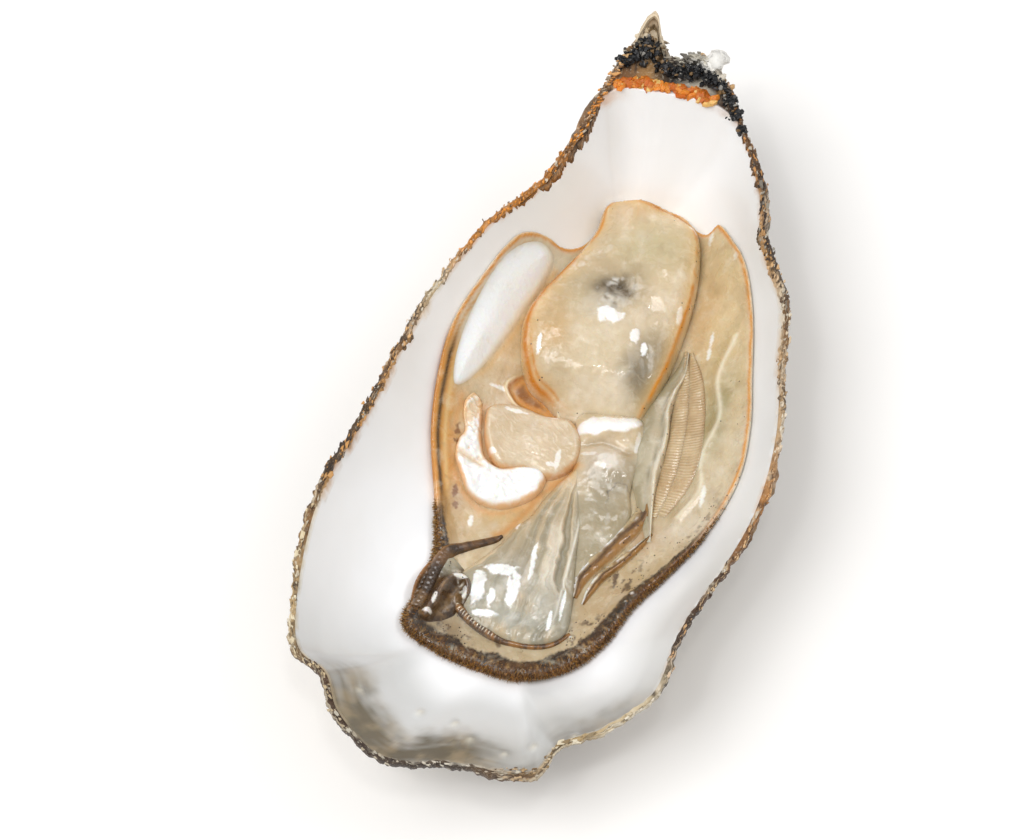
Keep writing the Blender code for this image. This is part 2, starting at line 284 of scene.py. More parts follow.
class Heap:
    """Many small closed bits gathered into one mesh, each with its own tint."""

    def __init__(self):
        self.points, self.faces, self.tints, self.count = [], [], [], 0

    def add(self, points, faces, tint):
        self.faces += [tuple(k + self.count for k in face) for face in faces]
        self.points.append(points)
        self.tints.append(np.broadcast_to(tint, (len(points), 3)))
        self.count += len(points)

    def finish(self, name, flat=False):
        return add_object(name, np.vstack(self.points), self.faces, np.vstack(self.tints),
                          flat=flat)


def place_piece(piece, material, slot, *nodes):
    """Gives a piece its material and lets it stand for CAD nodes; its slot is not used."""
    piece.data.materials.append(material)
    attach(piece, "root")
    if nodes:
        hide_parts(*nodes)
    return piece


# ---------------------------------------------------------------- the shell

SHELL_AROUND = 640
LAYER_COUNT = 12
RINGS_PER_LAYER = 8
NACRE_RINGS = 46
LIP_RINGS = 7
CRUST_SEED = 70
CRUST_AROUND = 2600
CRUST_TOP = 11

# Round the rim, clockwise from the beak: share of the way round, width of the crust,
# colour of the crust's inner line and of the crust itself
RIM_STRETCHES = (
    (0.000, 1.6, (226, 205, 170), (170, 130, 82)), (0.030, 1.4, (70, 60, 50), (40, 37, 36)),
    (0.050, 1.6, (236, 232, 222), (214, 205, 186)), (0.068, 1.0, (176, 120, 66), (74, 56, 42)),
    (0.100, 0.8, (214, 150, 84), (104, 72, 42)), (0.122, 1.3, (176, 128, 76), (62, 46, 34)),
    (0.165, 1.6, (206, 160, 104), (66, 48, 34)), (0.190, 1.2, (226, 214, 190), (132, 100, 66)),
    (0.215, 1.3, (206, 170, 126), (150, 116, 78)), (0.250, 0.6, (230, 220, 200), (190, 160, 122)),
    (0.290, 0.5, (224, 170, 104), (176, 124, 70)), (0.335, 0.5, (216, 190, 150), (96, 66, 42)),
    (0.375, 0.7, (190, 140, 84), (60, 44, 32)), (0.410, 0.5, (234, 226, 208), (206, 188, 154)),
    (0.450, 0.7, (226, 214, 186), (178, 150, 104)), (0.475, 1.8, (188, 154, 108), (112, 82, 50)),
    (0.505, 0.6, (214, 206, 190), (86, 70, 54)), (0.555, 0.7, (170, 156, 132), (62, 46, 36)),
    (0.600, 0.9, (214, 190, 150), (88, 62, 40)), (0.635, 0.7, (232, 220, 190), (196, 168, 124)),
    (0.680, 0.9, (228, 210, 172), (150, 112, 70)), (0.705, 1.3, (200, 146, 82), (76, 58, 40)),
    (0.740, 1.1, (206, 150, 84), (92, 70, 46)), (0.790, 1.0, (222, 176, 120), (140, 100, 60)),
    (0.815, 0.9, (238, 228, 206), (210, 188, 150)), (0.845, 0.8, (236, 156, 60), (196, 134, 64)),
    (0.900, 1.0, (238, 156, 56), (176, 116, 50)), (0.945, 1.2, (232, 150, 54), (120, 84, 42)),
    (0.975, 1.7, (212, 170, 116), (120, 84, 50)), (1.000, 1.6, (226, 205, 170), (170, 130, 82)))

# Colours of the layered outside
CHALK = paint(226, 218, 198)
SAND = paint(190, 168, 132)
BARK = paint(112, 86, 58)
PEAT = paint(56, 46, 40)
SLATE = paint(120, 116, 104)
PLUM = paint(92, 70, 72)
MOSS = paint(104, 102, 74)
BEAK_CREAM = paint(236, 218, 188)
NACRE = paint(255, 255, 255)
# The grey of the bowl's random clouds and of the painted shade on its walls
NACRE_CLOUDS_AND_PAINTED_SHADE = paint(202, 202, 199)
SEA_GREY = paint(104, 95, 76)


# Small pearly blisters inside the bill: x, y and size
PEARLS = ((5.2, -47.4, 0.55), (13.6, -47.1, 0.5), (-5.4, -45.6, 0.5), (-2.9, -48.0, 0.6),
          (-10.2, -44.9, 0.45), (10.3, -46.6, 0.5), (1.9, -49.3, 0.45), (-17.9, -44.9, 0.5))


def around_the_rim(share, column):
    """A width or colour of the rim's stretches, read at shares of the way round."""
    stops = [stretch[0] for stretch in RIM_STRETCHES]
    values = [stretch[column] for stretch in RIM_STRETCHES]
    if column == 1:
        return np.interp(share, stops, values)
    mixed = np.array([paint(*value) for value in values])
    return np.stack([np.interp(share, stops, tone) for tone in mixed.T], axis=-1)


def window(share, start, end, fade):
    """1 between two shares of the way round the rim, fading out on both sides."""
    return smooth(start - fade, start + fade, share) * (1 - smooth(end - fade, end + fade, share))


def rim_grain(place, inward, size, seed, layers=3, squeeze=3.0):
    """A random field drawn out along the rim, for what lies in layers there."""
    turn = 2 * math.pi * place / GIRTH
    radius = GIRTH / (2 * math.pi) + squeeze * inward
    return rough(radius * np.cos(turn), radius * np.sin(turn), size, seed, layers)


def crust_tint(x, y, share, seed):
    """The crust's colour: its stretch's own, broken up by darker and paler crumbs."""
    colour = around_the_rim(share, 3)
    pale = smooth(0.18, 0.5, rough(x, y, 1.6, seed, 3))
    dark = smooth(0.15, 0.5, rough(x, y, 1.1, seed + 20, 3))
    straw = 0.6 * around_the_rim(share, 2) + 0.4 * CHALK
    colour = blend(blend(colour, straw, 0.75 * pale), PEAT, 0.8 * dark)
    return blend(colour, BEAK_CREAM, 0.85 * smooth(49.8, 51.0, y))


class Valve:
    """The cupped valve, ring by ring: from the bowl's middle over the lip to the base."""

    def __init__(self):
        self.share = np.arange(SHELL_AROUND) / SHELL_AROUND
        self.plain = shell_outline(SHELL_AROUND)
        self.place, self.reach, self.foot, self.outward = round_the_spine(self.plain)
        px, py = self.plain.T
        ragged = 0.35 * rough(px, py, 3.0, 5) + 0.25 * rough(px, py, 0.9, 9, 2)
        self.rim = self.plain + self.outward * (np.clip(ragged, -0.6, 0.35) - 0.15)[:, None]
        self.top = rim_height(self.place, self.plain) + 0.35 * rough(px, py, 4.0, 61)
        self.way, self.edge_height, self.hinge = bowl_edge(
            self.plain, self.place, self.foot, self.reach)
        self.rings, self.tints, self.pearl, self.growth = [], [], [], []

    def add_ring(self, plan, height, tint, pearl=0.0, grown=0.0):
        self.rings.append(np.c_[plan, np.broadcast_to(height, SHELL_AROUND)])
        self.tints.append(np.broadcast_to(tint, (SHELL_AROUND, 3)))
        self.pearl.append(np.broadcast_to(pearl, SHELL_AROUND))
        self.growth.append(np.broadcast_to(grown, SHELL_AROUND))

    def nacre_tint(self, x, y, inset):
        """The bowl's colour this far in from its edge, with painted shade on its right wall and across the
        bill, and how far the crust stains it.
        """
        share, place = self.share, self.place
        # Greyer clouds at random, then painted shade down the steep right wall near the edge and across the
        # bill
        shade = smooth(0.05, 0.5, rough(x, y, 15, 40)) * 0.12
        shade = shade + 0.6 * window(share, 0.10, 0.5, 0.06) * smooth(10, 2, inset)
        shade = shade + 0.75 * window(share, 0.42, 0.63, 0.04) * smooth(17, 11, inset)
        tint = blend(NACRE, NACRE_CLOUDS_AND_PAINTED_SHADE, np.minimum(shade, 1))
        sea = window(share, 0.49, 0.60, 0.02) * smooth(8.5, 3.5, inset + 2 * rough(x, y, 3, 41))
        sea = np.maximum(sea, 0.45 * window(share, 0.40, 0.505, 0.03)
                         * smooth(5.0, 1.0, inset + 2 * rough(x, y, 2.5, 42)))
        sea = sea * (1.0 + 0.7 * rim_grain(place, inset, 5.0, 45, 4, 5.0))
        sandy = blend(SEA_GREY, SAND, 0.5 * smooth(-0.2, 0.5, rough(x, y, 2.2, 43)))
        crust = around_the_rim(share, 1)
        stain = smooth(crust * 0.8 + 0.45, crust * 0.6 + 0.2, inset + 0.35 * rough(x, y, 1.3, 44))
        stain = 0.9 * stain * (1 - self.hinge)
        tint = blend(tint, sandy, 0.95 * np.minimum(sea, 1))
        return blend(tint, around_the_rim(share, 2), stain), stain

    def line_the_bowl(self):
        """The pearly bowl, with closer rings towards its edge."""
        for step in np.linspace(0.03, 1, NACRE_RINGS) ** 0.8:
            out = self.foot + self.outward * (self.way * step)[:, None]
            x, y = out.T
            inset = self.way * (1 - step) + 0.8
            height = bowl_height(np.full(SHELL_AROUND, step), self.outward, self.edge_height)
            swell = 0.28 * rough(x, y, 13, 3) + 0.05 * rough(x, y, 3.5, 31)
            folds = 0.09 * rim_grain(self.place, inset, 8.0, 8, 3, 5.0) * smooth(12, 3, inset)
            height = height + (swell + folds) * smooth(0.0, 0.25, step) * smooth(1.0, 0.9, step)
            pearls = sum(np.exp(-((x - a) ** 2 + (y - b) ** 2) / size ** 2)
                         for a, b, size in PEARLS)
            tint, stain = self.nacre_tint(x, y, inset)
            tint = blend(tint, CHALK, 0.6 * np.clip(pearls, 0, 1))
            self.add_ring(out, height + 0.55 * pearls, tint, 1.0 - 0.8 * stain)

    def raise_the_lip(self):
        """The lip round the bowl, and at the hinge the plate behind it."""
        lip_end = self.reach * BOWL_EDGE + 0.2
        for step in np.linspace(0, 1, LIP_RINGS + 1)[1:]:
            out = self.foot + self.outward * (self.way + (lip_end - self.way) * step)[:, None]
            x, y = out.T
            bumps = 0.3 * rough(x, y, 1.2, 50) * smooth(0, 0.3, step)
            groove = -0.5 * self.hinge * np.exp(-((x - 5) / 5) ** 2) * step
            height = self.edge_height + 0.1 * step + bumps + groove
            self.add_ring(out, height, crust_tint(x, y, self.share, CRUST_SEED))
        for inward, drop in ((0.7, 0.15), (0.35, 0.0), (0.1, 0.12), (0.0, 0.4)):
            out = self.rim - self.outward * inward
            x, y = out.T
            self.add_ring(out, self.top - drop + 0.18 * rough(x, y, 0.9, 52, 2),
                          crust_tint(x, y, self.share, CRUST_SEED))

    def layer_end(self, k):
        """How far up the outside, 0 at the base and 1 at the rim, a layer ends."""
        if k >= LAYER_COUNT:
            return np.ones(SHELL_AROUND)
        if k <= 0:
            return np.zeros(SHELL_AROUND)
        px, py = self.plain.T
        middle = (k / LAYER_COUNT) ** 0.85 + 0.026 * math.sin(2.4 * k * k)
        wander = 0.045 * rough(px + 4 * k, py - 3 * k, 19, 80, 3)
        towards_hinge = np.clip(self.outward @ SPINE_ALONG, 0, 1)
        return 1 - (1 - (middle + wander)) * (1 - 0.35 * towards_hinge)

    def outside_tint(self, x, y, k, t, climb, chipped):
        """The colour of layer k, t of the way up it: sand and chalk, stained and worn."""
        place = self.place
        streak = rough(place * 1.0, climb * 9, 2.6, 170, 3)
        ray = smooth(0.1, 0.45, rough(place, climb * 5, 5.5, 195, 3))
        tint = blend(SAND, CHALK, smooth(-0.15, 0.5, rough(x, y + 11 * k, 6, 160)))
        for colour, strength in (
                (SLATE, 0.8 * smooth(0.0, 0.55, rough(x, y, 9, 180))),
                (BARK, 0.85 * smooth(-0.05, 0.45, streak) * smooth(0.1, 0.8, climb)),
                (PLUM, 0.7 * smooth(0.25, 0.6, rough(place, climb * 4, 5, 190, 3))),
                (PLUM, 0.55 * ray * smooth(0.2, 0.6, climb)),
                (CHALK, 0.75 * smooth(0.12, 0.4, rough(x, y, 13, 196, 4))),
                (MOSS, 0.6 * smooth(0.1, 0.5, rough(x + 40, y, 11, 197, 4))),
                (PEAT, 0.7 * smooth(0.3, 0.0, t) * chipped
                 * smooth(-0.6, 0.4, rough(x, y, 2.0, 200)))):
            tint = blend(tint, colour, strength)
        worn = smooth(0.8, 1.0, t) * smooth(-0.3, 0.4, rough(x, y, 1.5, 210))
        pale = blend(CHALK, around_the_rim(self.share, 2), np.full(SHELL_AROUND, 0.5))
        tint = blend(tint, pale, 0.75 * worn)
        return blend(tint, crust_tint(x, y, self.share, CRUST_SEED), smooth(0.82, 0.98, climb))

    def shingle_the_outside(self):
        """The outside, layer under layer, from the rim down to the resting spot."""
        px, py = self.plain.T
        base = BASE_SPINE_SCALE * self.foot + BASE_HALF_WIDTH * self.outward
        ribs = np.cos(9 * 2 * math.pi * self.place / GIRTH + 2.5 * rough(px, py, 26, 97))
        ribs = 0.9 * ribs * (0.6 + rough(px, py, 14, 98))
        for k in range(LAYER_COUNT, 0, -1):
            low, high = self.layer_end(k - 1), self.layer_end(k)
            chipped = smooth(-0.25, 0.4, rough(px + 9 * k, py + 5 * k, 11, 90 + k, 4))
            flare = (0.05 + 2.0 * chipped) * (0.4 if k == LAYER_COUNT else 1.0)
            flare = flare + 0.4 * chipped * rough(px - 3 * k, py, 2.2, 130 + k, 4)
            for t in np.linspace(1, 0, RINGS_PER_LAYER) ** 0.8:
                climb = low + (high - low) * t
                shift = np.where(climb > 0.93, (1 - climb) / 0.07, 1.0)
                out = base + climb[:, None] * (self.rim - base)
                swing = climb ** 2 * ribs - 0.1 + flare * t ** 3
                out = out + self.outward * (swing * shift)[:, None]
                x, y = out.T
                height = (self.top - 0.4) * climb ** 1.5 - 0.25 * (1 - t) * (climb > 0.05)
                height = height + 0.45 * rough(x + 3 * k, y, 3.2, 150, 5)
                wall = 0.5 + 0.9 * smooth(1.0, 0.8, climb)
                height = np.maximum(np.minimum(height, BOWL.height(out) - wall), 0.0)
                if k == 1:
                    height = height * smooth(0, 0.3, t)
                self.add_ring(out, height, self.outside_tint(x, y, k, t, climb, chipped),
                              grown=k + t)

    def finish(self):
        """The mesh: bands of faces between the rings, and a fan at each end."""
        faces = []
        for k in range(len(self.rings) - 1):
            here = np.arange(SHELL_AROUND) + k * SHELL_AROUND
            turn = np.roll(here, -1)
            faces.append(np.stack([here, turn, turn + SHELL_AROUND, here + SHELL_AROUND], axis=1))
        faces = np.vstack(faces).tolist()
        first = len(self.rings) * SHELL_AROUND
        for k, row in enumerate((0, len(self.rings) - 1)):
            ring = np.arange(SHELL_AROUND) + row * SHELL_AROUND
            faces += [(int(a), int(b), first + k) for a, b in zip(ring, np.roll(ring, -1))]
        middles = [self.rings[0].mean(axis=0), self.rings[-1].mean(axis=0)]
        tint = np.vstack(self.tints + [self.tints[0][:1], self.tints[-1][:1]])
        fields = {"pearl": np.r_[np.concatenate(self.pearl), 1.0, 0.0],
                  "growth": np.r_[np.concatenate(self.growth), 0.0, 0.0]}
        return add_object("cup", np.vstack(self.rings + [middles]), faces, tint, fields)


def make_shell():
    """The cupped valve: pearly bowl, hinge plate, crusted lip and shingled outside."""
    valve = Valve()
    valve.line_the_bowl()
    valve.raise_the_lip()
    valve.shingle_the_outside()
    shell = valve.finish()
    shell.data.set_sharp_from_angle(angle=math.radians(50))
    return shell


def rim_line(count):
    """The ragged outer edge of the rim, its height and its way out, at many places."""
    plain = shell_outline(count)
    place, _, _, outward = round_the_spine(plain)
    px, py = plain.T
    ragged = 0.35 * rough(px, py, 3.0, 5) + 0.25 * rough(px, py, 0.9, 9, 2)
    ragged = ragged + 0.16 * rough(px, py, 0.35, 13, 2)
    rim = plain + outward * (np.clip(ragged, -0.6, 0.4) - 0.1)[:, None]
    top = rim_height(place, plain) + 0.35 * rough(px, py, 4.0, 61)
    return rim, top, place, outward


def make_rim_crust():
    """The crust that edges the shell: an orange-brown inner line and a scaly outer band."""
    rim, top, place, outward = rim_line(CRUST_AROUND)
    share = np.arange(CRUST_AROUND) / CRUST_AROUND
    width = 0.78 * around_the_rim(share, 1) * (1 + 0.3 * rough(*rim.T, 3.6, 230)) + 0.12
    rows, tints = [], []
    for v in np.linspace(1, 0, CRUST_TOP):
        inward = width * v
        plan = rim - outward * inward[:, None]
        x, y = plan.T
        scales = rim_grain(place, inward, 2.6, 240, 4, 9.0)
        crumbs = rough(x, y, 0.45, 250, 2)
        beak = smooth(49.8, 51.0, y)
        body = smooth(1.0, 0.65, np.full(CRUST_AROUND, v))
        ground = np.minimum(BOWL.height(plan), top - 0.1)
        ground = ground + (top - ground) * smooth(0.9, 0.2, v)
        scaly = np.maximum(0.12 + (0.28 * scales + 0.12 * crumbs) * (1 - 0.5 * beak), 0.02)
        height = ground - 0.05 + body * (0.08 + scaly)
        height = height - 0.35 * smooth(0.14, 0.0, v)
        straw, core = around_the_rim(share, 2), around_the_rim(share, 3)
        inner_line = smooth(0.4, 0.7, v + 0.4 * rim_grain(place, inward, 4.0, 260, 3, 4.0))
        colour = blend(core, straw, inner_line)
        pale = smooth(0.05, 0.35, rim_grain(place, inward, 3.4, 270, 4, 10.0))
        colour = blend(colour, 0.5 * straw + 0.5 * CHALK, 0.8 * pale)
        soot = smooth(0.05, 0.35, rim_grain(place, inward, 3.0, 280, 4, 10.0))
        colour = blend(colour, PEAT, 0.85 * soot * (1 - 0.5 * inner_line) * (1 - beak))
        colour = blend(colour, BEAK_CREAM, 0.8 * beak * smooth(0.0, 0.4, v + 0.2 * crumbs))
        colour = blend(colour, core * 0.6, 0.5 * smooth(0.1, 0.5, crumbs) * (1 - beak))
        rows.append(np.c_[plan, height])
        tints.append(colour)
    for inward, drop in ((0.02, 0.8), (0.12, 1.3), (0.5, 1.5), (0.7, 0.8)):
        plan = rim - outward * inward
        bumps = 0.15 * rim_grain(place, np.full(CRUST_AROUND, drop), 1.0, 290)
        rows.append(np.c_[plan + outward * bumps[:, None] * (inward < 0.2), top - drop])
        tints.append(blend(tints[CRUST_TOP - 1], PEAT, 0.3 * np.ones(CRUST_AROUND)))
    here = np.arange(CRUST_AROUND)
    turn = np.roll(here, -1)
    faces = []
    for k in range(len(rows)):
        a, b = k * CRUST_AROUND, (k + 1) % len(rows) * CRUST_AROUND
        faces += np.stack([here + a, turn + a, turn + b, here + b], axis=1).tolist()
    return add_object("rim_crust", np.vstack(rows), faces, np.vstack(tints))


# Share of the way round, on either side of the beak, without loose flakes
BARE_BEAK = 0.016


def make_rim_flakes(count=2400, seed=21):
    """Thin broken platelets that lie along the rim's crust, a few standing out."""
    draw = np.random.default_rng(seed)
    rim, top, _, outward = rim_line(CRUST_AROUND)
    share = np.arange(CRUST_AROUND) / CRUST_AROUND
    width = around_the_rim(share, 1)
    straw, core = around_the_rim(share, 2), around_the_rim(share, 3)
    heap = Heap()
    for _ in range(count):
        k = int(draw.integers(CRUST_AROUND))
        from_beak = min(share[k], 1 - share[k])
        if draw.random() > width[k] / 1.6 or from_beak < BARE_BEAK:
            continue
        out = outward[k]
        side = np.array((-out[1], out[0]))
        corners = int(draw.integers(5, 8))
        size = draw.uniform(0.10, 0.26) * (1.7 if draw.random() < 0.08 else 1.0)
        turn = np.sort(draw.uniform(0, 2 * math.pi, corners))
        ring = np.c_[np.cos(turn) * draw.uniform(1.2, 2.4), np.sin(turn) * draw.uniform(0.6, 1.0)]
        ring = ring * size * draw.uniform(0.75, 1.1, (corners, 1))
        middle = rim[k] - out * draw.uniform(-0.08, 0.95) * width[k]
        lean = draw.normal(0, 0.35)
        plan = middle + ring[:, :1] * side + ring[:, 1:] * out
        height = top[k] + draw.uniform(-0.15, 0.22) + lean * ring[:, 1]
        thick = draw.uniform(0.05, 0.14)
        upper = np.c_[plan, height + thick]
        lower = np.c_[middle + (plan - middle) * 1.08, height - 0.1]
        faces = [tuple(range(corners)), tuple(range(2 * corners - 1, corners - 1, -1))]
        faces += [(j, corners + j, corners + (j + 1) % corners, (j + 1) % corners)
                  for j in range(corners)]
        mood = draw.random()
        base = straw[k] if mood > 0.6 else core[k]
        other = CHALK if mood < 0.22 else PEAT if mood < 0.45 else base
        heap.add(np.vstack([upper, lower]), faces, blend(base, other, draw.uniform(0.2, 0.8)))
    return heap.finish("rim_flakes", flat=True)


# ---------------------------------------------------------------- lines and soft bodies

class Path:
    """A line drawn on the flesh, that says how far points lie from it and where."""

    def __init__(self, points, closed=False, spacing=0.25):
        self.points = smooth_line(points, spacing, closed)[:, :2]
        self.closed = closed
        self.tree = KDTree(len(self.points))
        for k, (x, y) in enumerate(self.points):
            self.tree.insert((x, y, 0), k)
        self.tree.balance()

    def measure(self, x, y):
        """Distance from the line, the share along it, and the side (above 0 is right)."""
        count = len(self.points)
        spot = np.c_[x, y]
        nearest = np.fromiter((self.tree.find((a, b, 0))[1] for a, b in spot), int, len(spot))
        best = np.full(len(spot), 1e9)
        share, side = np.zeros(len(spot)), np.ones(len(spot))
        for back in (1, 0):
            if self.closed:
                start = (nearest - back) % count
            else:
                start = np.clip(nearest - back, 0, count - 2)
            first = self.points[start]
            step = self.points[(start + 1) % count] - first
            offset = spot - first
            t = np.clip(np.sum(offset * step, axis=1) / np.maximum(
                np.sum(step * step, axis=1), 1e-9), 0, 1)
            away = offset - t[:, None] * step
            distance = np.linalg.norm(away, axis=1)
            closer = distance < best
            best = np.where(closer, distance, best)
            share = np.where(closer, (start + t) / (count if self.closed else count - 1), share)
            turn = step[:, 0] * offset[:, 1] - step[:, 1] * offset[:, 0]
            side = np.where(closer, -np.sign(turn), side)
        return best, share, side


def inside(points, border):
    """Which points lie inside a closed outline."""
    x, y = points.T
    within = np.zeros(len(points), bool)
    for (ax, ay), (bx, by) in zip(border, np.roll(border, -1, axis=0)):
        if ay != by:
            crosses = (ay > y) != (by > y)
            within ^= crosses & (x < (bx - ax) * (y - ay) / (by - ay) + ax)
    return within


def triangle_net(border, spacing):
    """Points and triangles that fill an outline evenly, the outline's points first."""
    low, high = border.min(axis=0), border.max(axis=0)
    across, up = np.meshgrid(np.arange(low[0], high[0], spacing),
                             np.arange(low[1], high[1], spacing * 0.866))
    across = across + (np.arange(len(across)) % 2)[:, None] * spacing / 2
    grid = np.c_[across.ravel(), up.ravel()]
    grid = grid + np.random.default_rng(1).normal(0, 0.06 * spacing, grid.shape)
    grid = grid[inside(grid, border)]
    away = Path(border, closed=True, spacing=min(spacing, 0.5)).measure(*grid.T)[0]
    grid = grid[away > 0.6 * spacing]
    flat = np.vstack([border, grid])
    loop = [list(range(len(border)))]
    found = delaunay_2d_cdt([Vector(spot) for spot in flat], [], loop, 1, 1e-6, True)
    order = [sources[0] for sources in found[3]]
    faces = np.array([[order[k] for k in face] for face in found[2]])
    kept = inside(flat[faces].mean(axis=1), border)
    return flat, [tuple(face) for face in faces[kept].tolist()]


def within(line, x, y):
    """How deep inside a closed line a place lies, in millimetres; below 0 outside it."""
    distance = line.measure(x, y)[0]
    return np.where(inside(np.c_[x, y], line.points), distance, -distance)


UNDERSIDE_SPACING = 1.2
UNDERSIDE_LIFT = 0.1
STRIP_ACROSS = 15
STRIP_SPACING = 0.08
STRIP_LIFT = 0.2


def painted_fields(gloss, specks, count):
    """The gloss and the share of dark specks at every one of a piece's points."""
    return {"specks": np.broadcast_to(specks, count), "gloss": np.broadcast_to(gloss, count)}


def soft_piece(name, outline, spacing, relief):
    """A soft body on the bowl: relief gives its thickness, tint, gloss and specks."""
    border = smooth_line(outline, spacing, closed=True)[:, :2]
    top, top_faces = triangle_net(border, spacing)
    under, under_faces = triangle_net(border, UNDERSIDE_SPACING)
    x, y = top.T
    distance, share, _ = Path(border, closed=True, spacing=spacing).measure(x, y)
    distance[:len(border)] = 0
    thickness, tint, gloss, specks = relief(x, y, distance, share)
    thickness = np.maximum(thickness, UNDERSIDE_LIFT + 0.1)
    points = np.vstack([np.c_[top, BOWL.height(top) + thickness],
                        np.c_[under, BOWL.height(under) + UNDERSIDE_LIFT]])
    shift = len(top)
    faces = top_faces + [tuple(k + shift for k in reversed(face)) for face in under_faces]
    for k in range(len(border)):
        following = (k + 1) % len(border)
        faces.append((k, following, following + shift, k + shift))
    lower_tint = tint[:len(border)].mean(axis=0)
    tints = np.vstack([tint, np.broadcast_to(lower_tint, (len(under), 3))])
    tints[shift:shift + len(border)] = tint[:len(border)]
    fields = {label: np.r_[values, np.zeros(len(under))]
              for label, values in painted_fields(gloss, specks, len(top)).items()}
    return add_object(name, points, faces, tints, fields)


def strip_piece(name, path, relief):
    """A long body along a path with half widths; relief shapes and paints its top."""
    across = STRIP_ACROSS
    line = smooth_line(path, STRIP_SPACING, closed=False)
    plan = line[:, :2]
    ahead = unit(np.gradient(plan, axis=0))
    aside = np.c_[ahead[:, 1], -ahead[:, 0]]
    along = np.r_[0, np.cumsum(np.linalg.norm(np.diff(plan, axis=0), axis=1))]
    v = -np.cos(np.linspace(0, math.pi, across))
    top = plan[:, None] + (line[:, 2:3] * v)[..., None] * aside[:, None]
    flat = top.reshape(-1, 2)
    way = np.repeat(along, across)
    share = way / along[-1]
    thickness, tint, gloss, specks = relief(*flat.T, way, share, np.tile(v, len(plan)))
    ground = BOWL.height(flat)
    upper = np.c_[flat, ground + thickness]
    base = np.c_[flat, ground + STRIP_LIFT]
    points = np.vstack([upper, base])
    shift = len(upper)
    faces = []
    for row in range(len(plan) - 1):
        first = row * across
        for k in range(across - 1):
            a, b = first + k, first + k + 1
            c, d = b + across, a + across
            faces.append((a, b, c, d))
            faces.append((d + shift, c + shift, b + shift, a + shift))
        for edge in (first, first + across - 1):
            faces.append((edge, edge + across, edge + across + shift, edge + shift))
    for row in (0, len(plan) - 1):
        for k in range(across - 1):
            a = row * across + k
            faces.append((a, a + 1, a + 1 + shift, a + shift))
    fields = {label: np.tile(values, 2)
              for label, values in painted_fields(gloss, specks, len(flat)).items()}
    return add_object(name, points, faces, np.vstack([tint, tint]), fields)


# ---------------------------------------------------------------- shader tools

class Recipe:
    """A node tree being written: a node's inputs are set or linked by name."""

    def __init__(self, tree):
        self.tree = tree

    def add(self, kind, inputs=None, **settings):
        made = self.tree.nodes.new("ShaderNode" + kind)
        for label, value in settings.items():
            setattr(made, label, value)
        for socket, value in (inputs or {}).items():
            self.give(made.inputs[socket], value)
        return made

    def give(self, socket, value):
        if isinstance(value, bpy.types.NodeSocket):
            self.tree.links.new(value, socket)
        else:
            socket.default_value = value

    def noise(self, where, scale, detail=3.0, roughness=0.55, distortion=0.0):
        inputs = {"Vector": where, "Scale": scale, "Detail": detail,
                  "Roughness": roughness, "Distortion": distortion}
        return self.add("TexNoise", inputs).outputs["Fac"]

    def steps(self, value, low, high, low_to=0.0, high_to=1.0):
        inputs = {"Value": value, "From Min": low, "From Max": high,
                  "To Min": low_to, "To Max": high_to}
        return self.add("MapRange", inputs, interpolation_type="SMOOTHSTEP").outputs["Result"]

    def maths(self, operation, first, second):
        return self.add("Math", {0: first, 1: second}, operation=operation).outputs[0]

    def mix(self, share, first, second, mode="MIX"):
        inputs = {"Factor": share, 6: first, 7: second}
        return self.add("Mix", inputs, data_type="RGBA", blend_type=mode).outputs[2]

    def bump(self, shader, height, strength, distance):
        inputs = {"Height": height, "Strength": strength, "Distance": distance}
        self.give(shader.inputs["Normal"], self.add("Bump", inputs).outputs[0])

    def place(self):
        return self.add("TexCoord").outputs["Object"]

    def painted(self, label):
        return self.add("Attribute", attribute_name=label).outputs

    def group(self, tree, inputs):
        made = self.tree.nodes.new("ShaderNodeGroup")
        made.node_tree = tree
        for socket, value in inputs.items():
            self.give(made.inputs[socket], value)
        return made.outputs


def make_effect(name, inputs, outputs, fill):
    """A reusable effect with named inputs and outputs, filled in by a function."""
    tree = bpy.data.node_groups.new(name, "ShaderNodeTree")
    for label, kind, value in inputs:
        socket = tree.interface.new_socket(label, in_out="INPUT", socket_type=kind)
        if value is not None:
            socket.default_value = value
    for label, kind in outputs:
        tree.interface.new_socket(label, in_out="OUTPUT", socket_type=kind)
    recipe = Recipe(tree)
    way_in = tree.nodes.new("NodeGroupInput").outputs
    way_out = tree.nodes.new("NodeGroupOutput").inputs
    for label, socket in fill(recipe, way_in).items():
        tree.links.new(socket, way_out[label])
    return tree


NUMBER, COLOUR, POINT = "NodeSocketFloat", "NodeSocketColor", "NodeSocketVector"


def flesh_mottle(recipe, way_in):
    """Cloudy light and dark patches and thin veins over a painted colour."""
    cloud = recipe.noise(way_in["Place"], way_in["Cloud Scale"], 4.0, 0.6, 0.4)
    fine = recipe.noise(way_in["Place"], way_in["Fine Scale"], 3.0, 0.65, 0.8)
    light = recipe.steps(cloud, 0.5, 0.75)
    dark = recipe.steps(cloud, 0.5, 0.25)
    colour = recipe.mix(recipe.maths("MULTIPLY", light, way_in["Amount"]),
                        way_in["Colour"], way_in["Light"])
    colour = recipe.mix(recipe.maths("MULTIPLY", dark, way_in["Amount"]), colour, way_in["Dark"])
    vein = recipe.steps(fine, 0.58, 0.7)
    colour = recipe.mix(recipe.maths("MULTIPLY", vein, way_in["Vein"]), colour, way_in["Dark"])
    return {"Colour": colour}


def wet_film(recipe, way_in):
    """Gloss and small swells of a wet skin: smooth pools with duller patches."""
    pool = recipe.noise(way_in["Place"], way_in["Pool Scale"], 2.0, 0.5, 0.6)
    fine = recipe.noise(way_in["Place"], way_in["Fine Scale"], 2.0, 0.5, 0.3)
    roughness = recipe.steps(pool, 0.35, 0.65, way_in["Dull"], way_in["Gloss"])
    height = recipe.maths("ADD", recipe.maths("MULTIPLY", pool, 0.7),
                          recipe.maths("MULTIPLY", fine, 0.3))
    return {"Roughness": roughness, "Height": height}


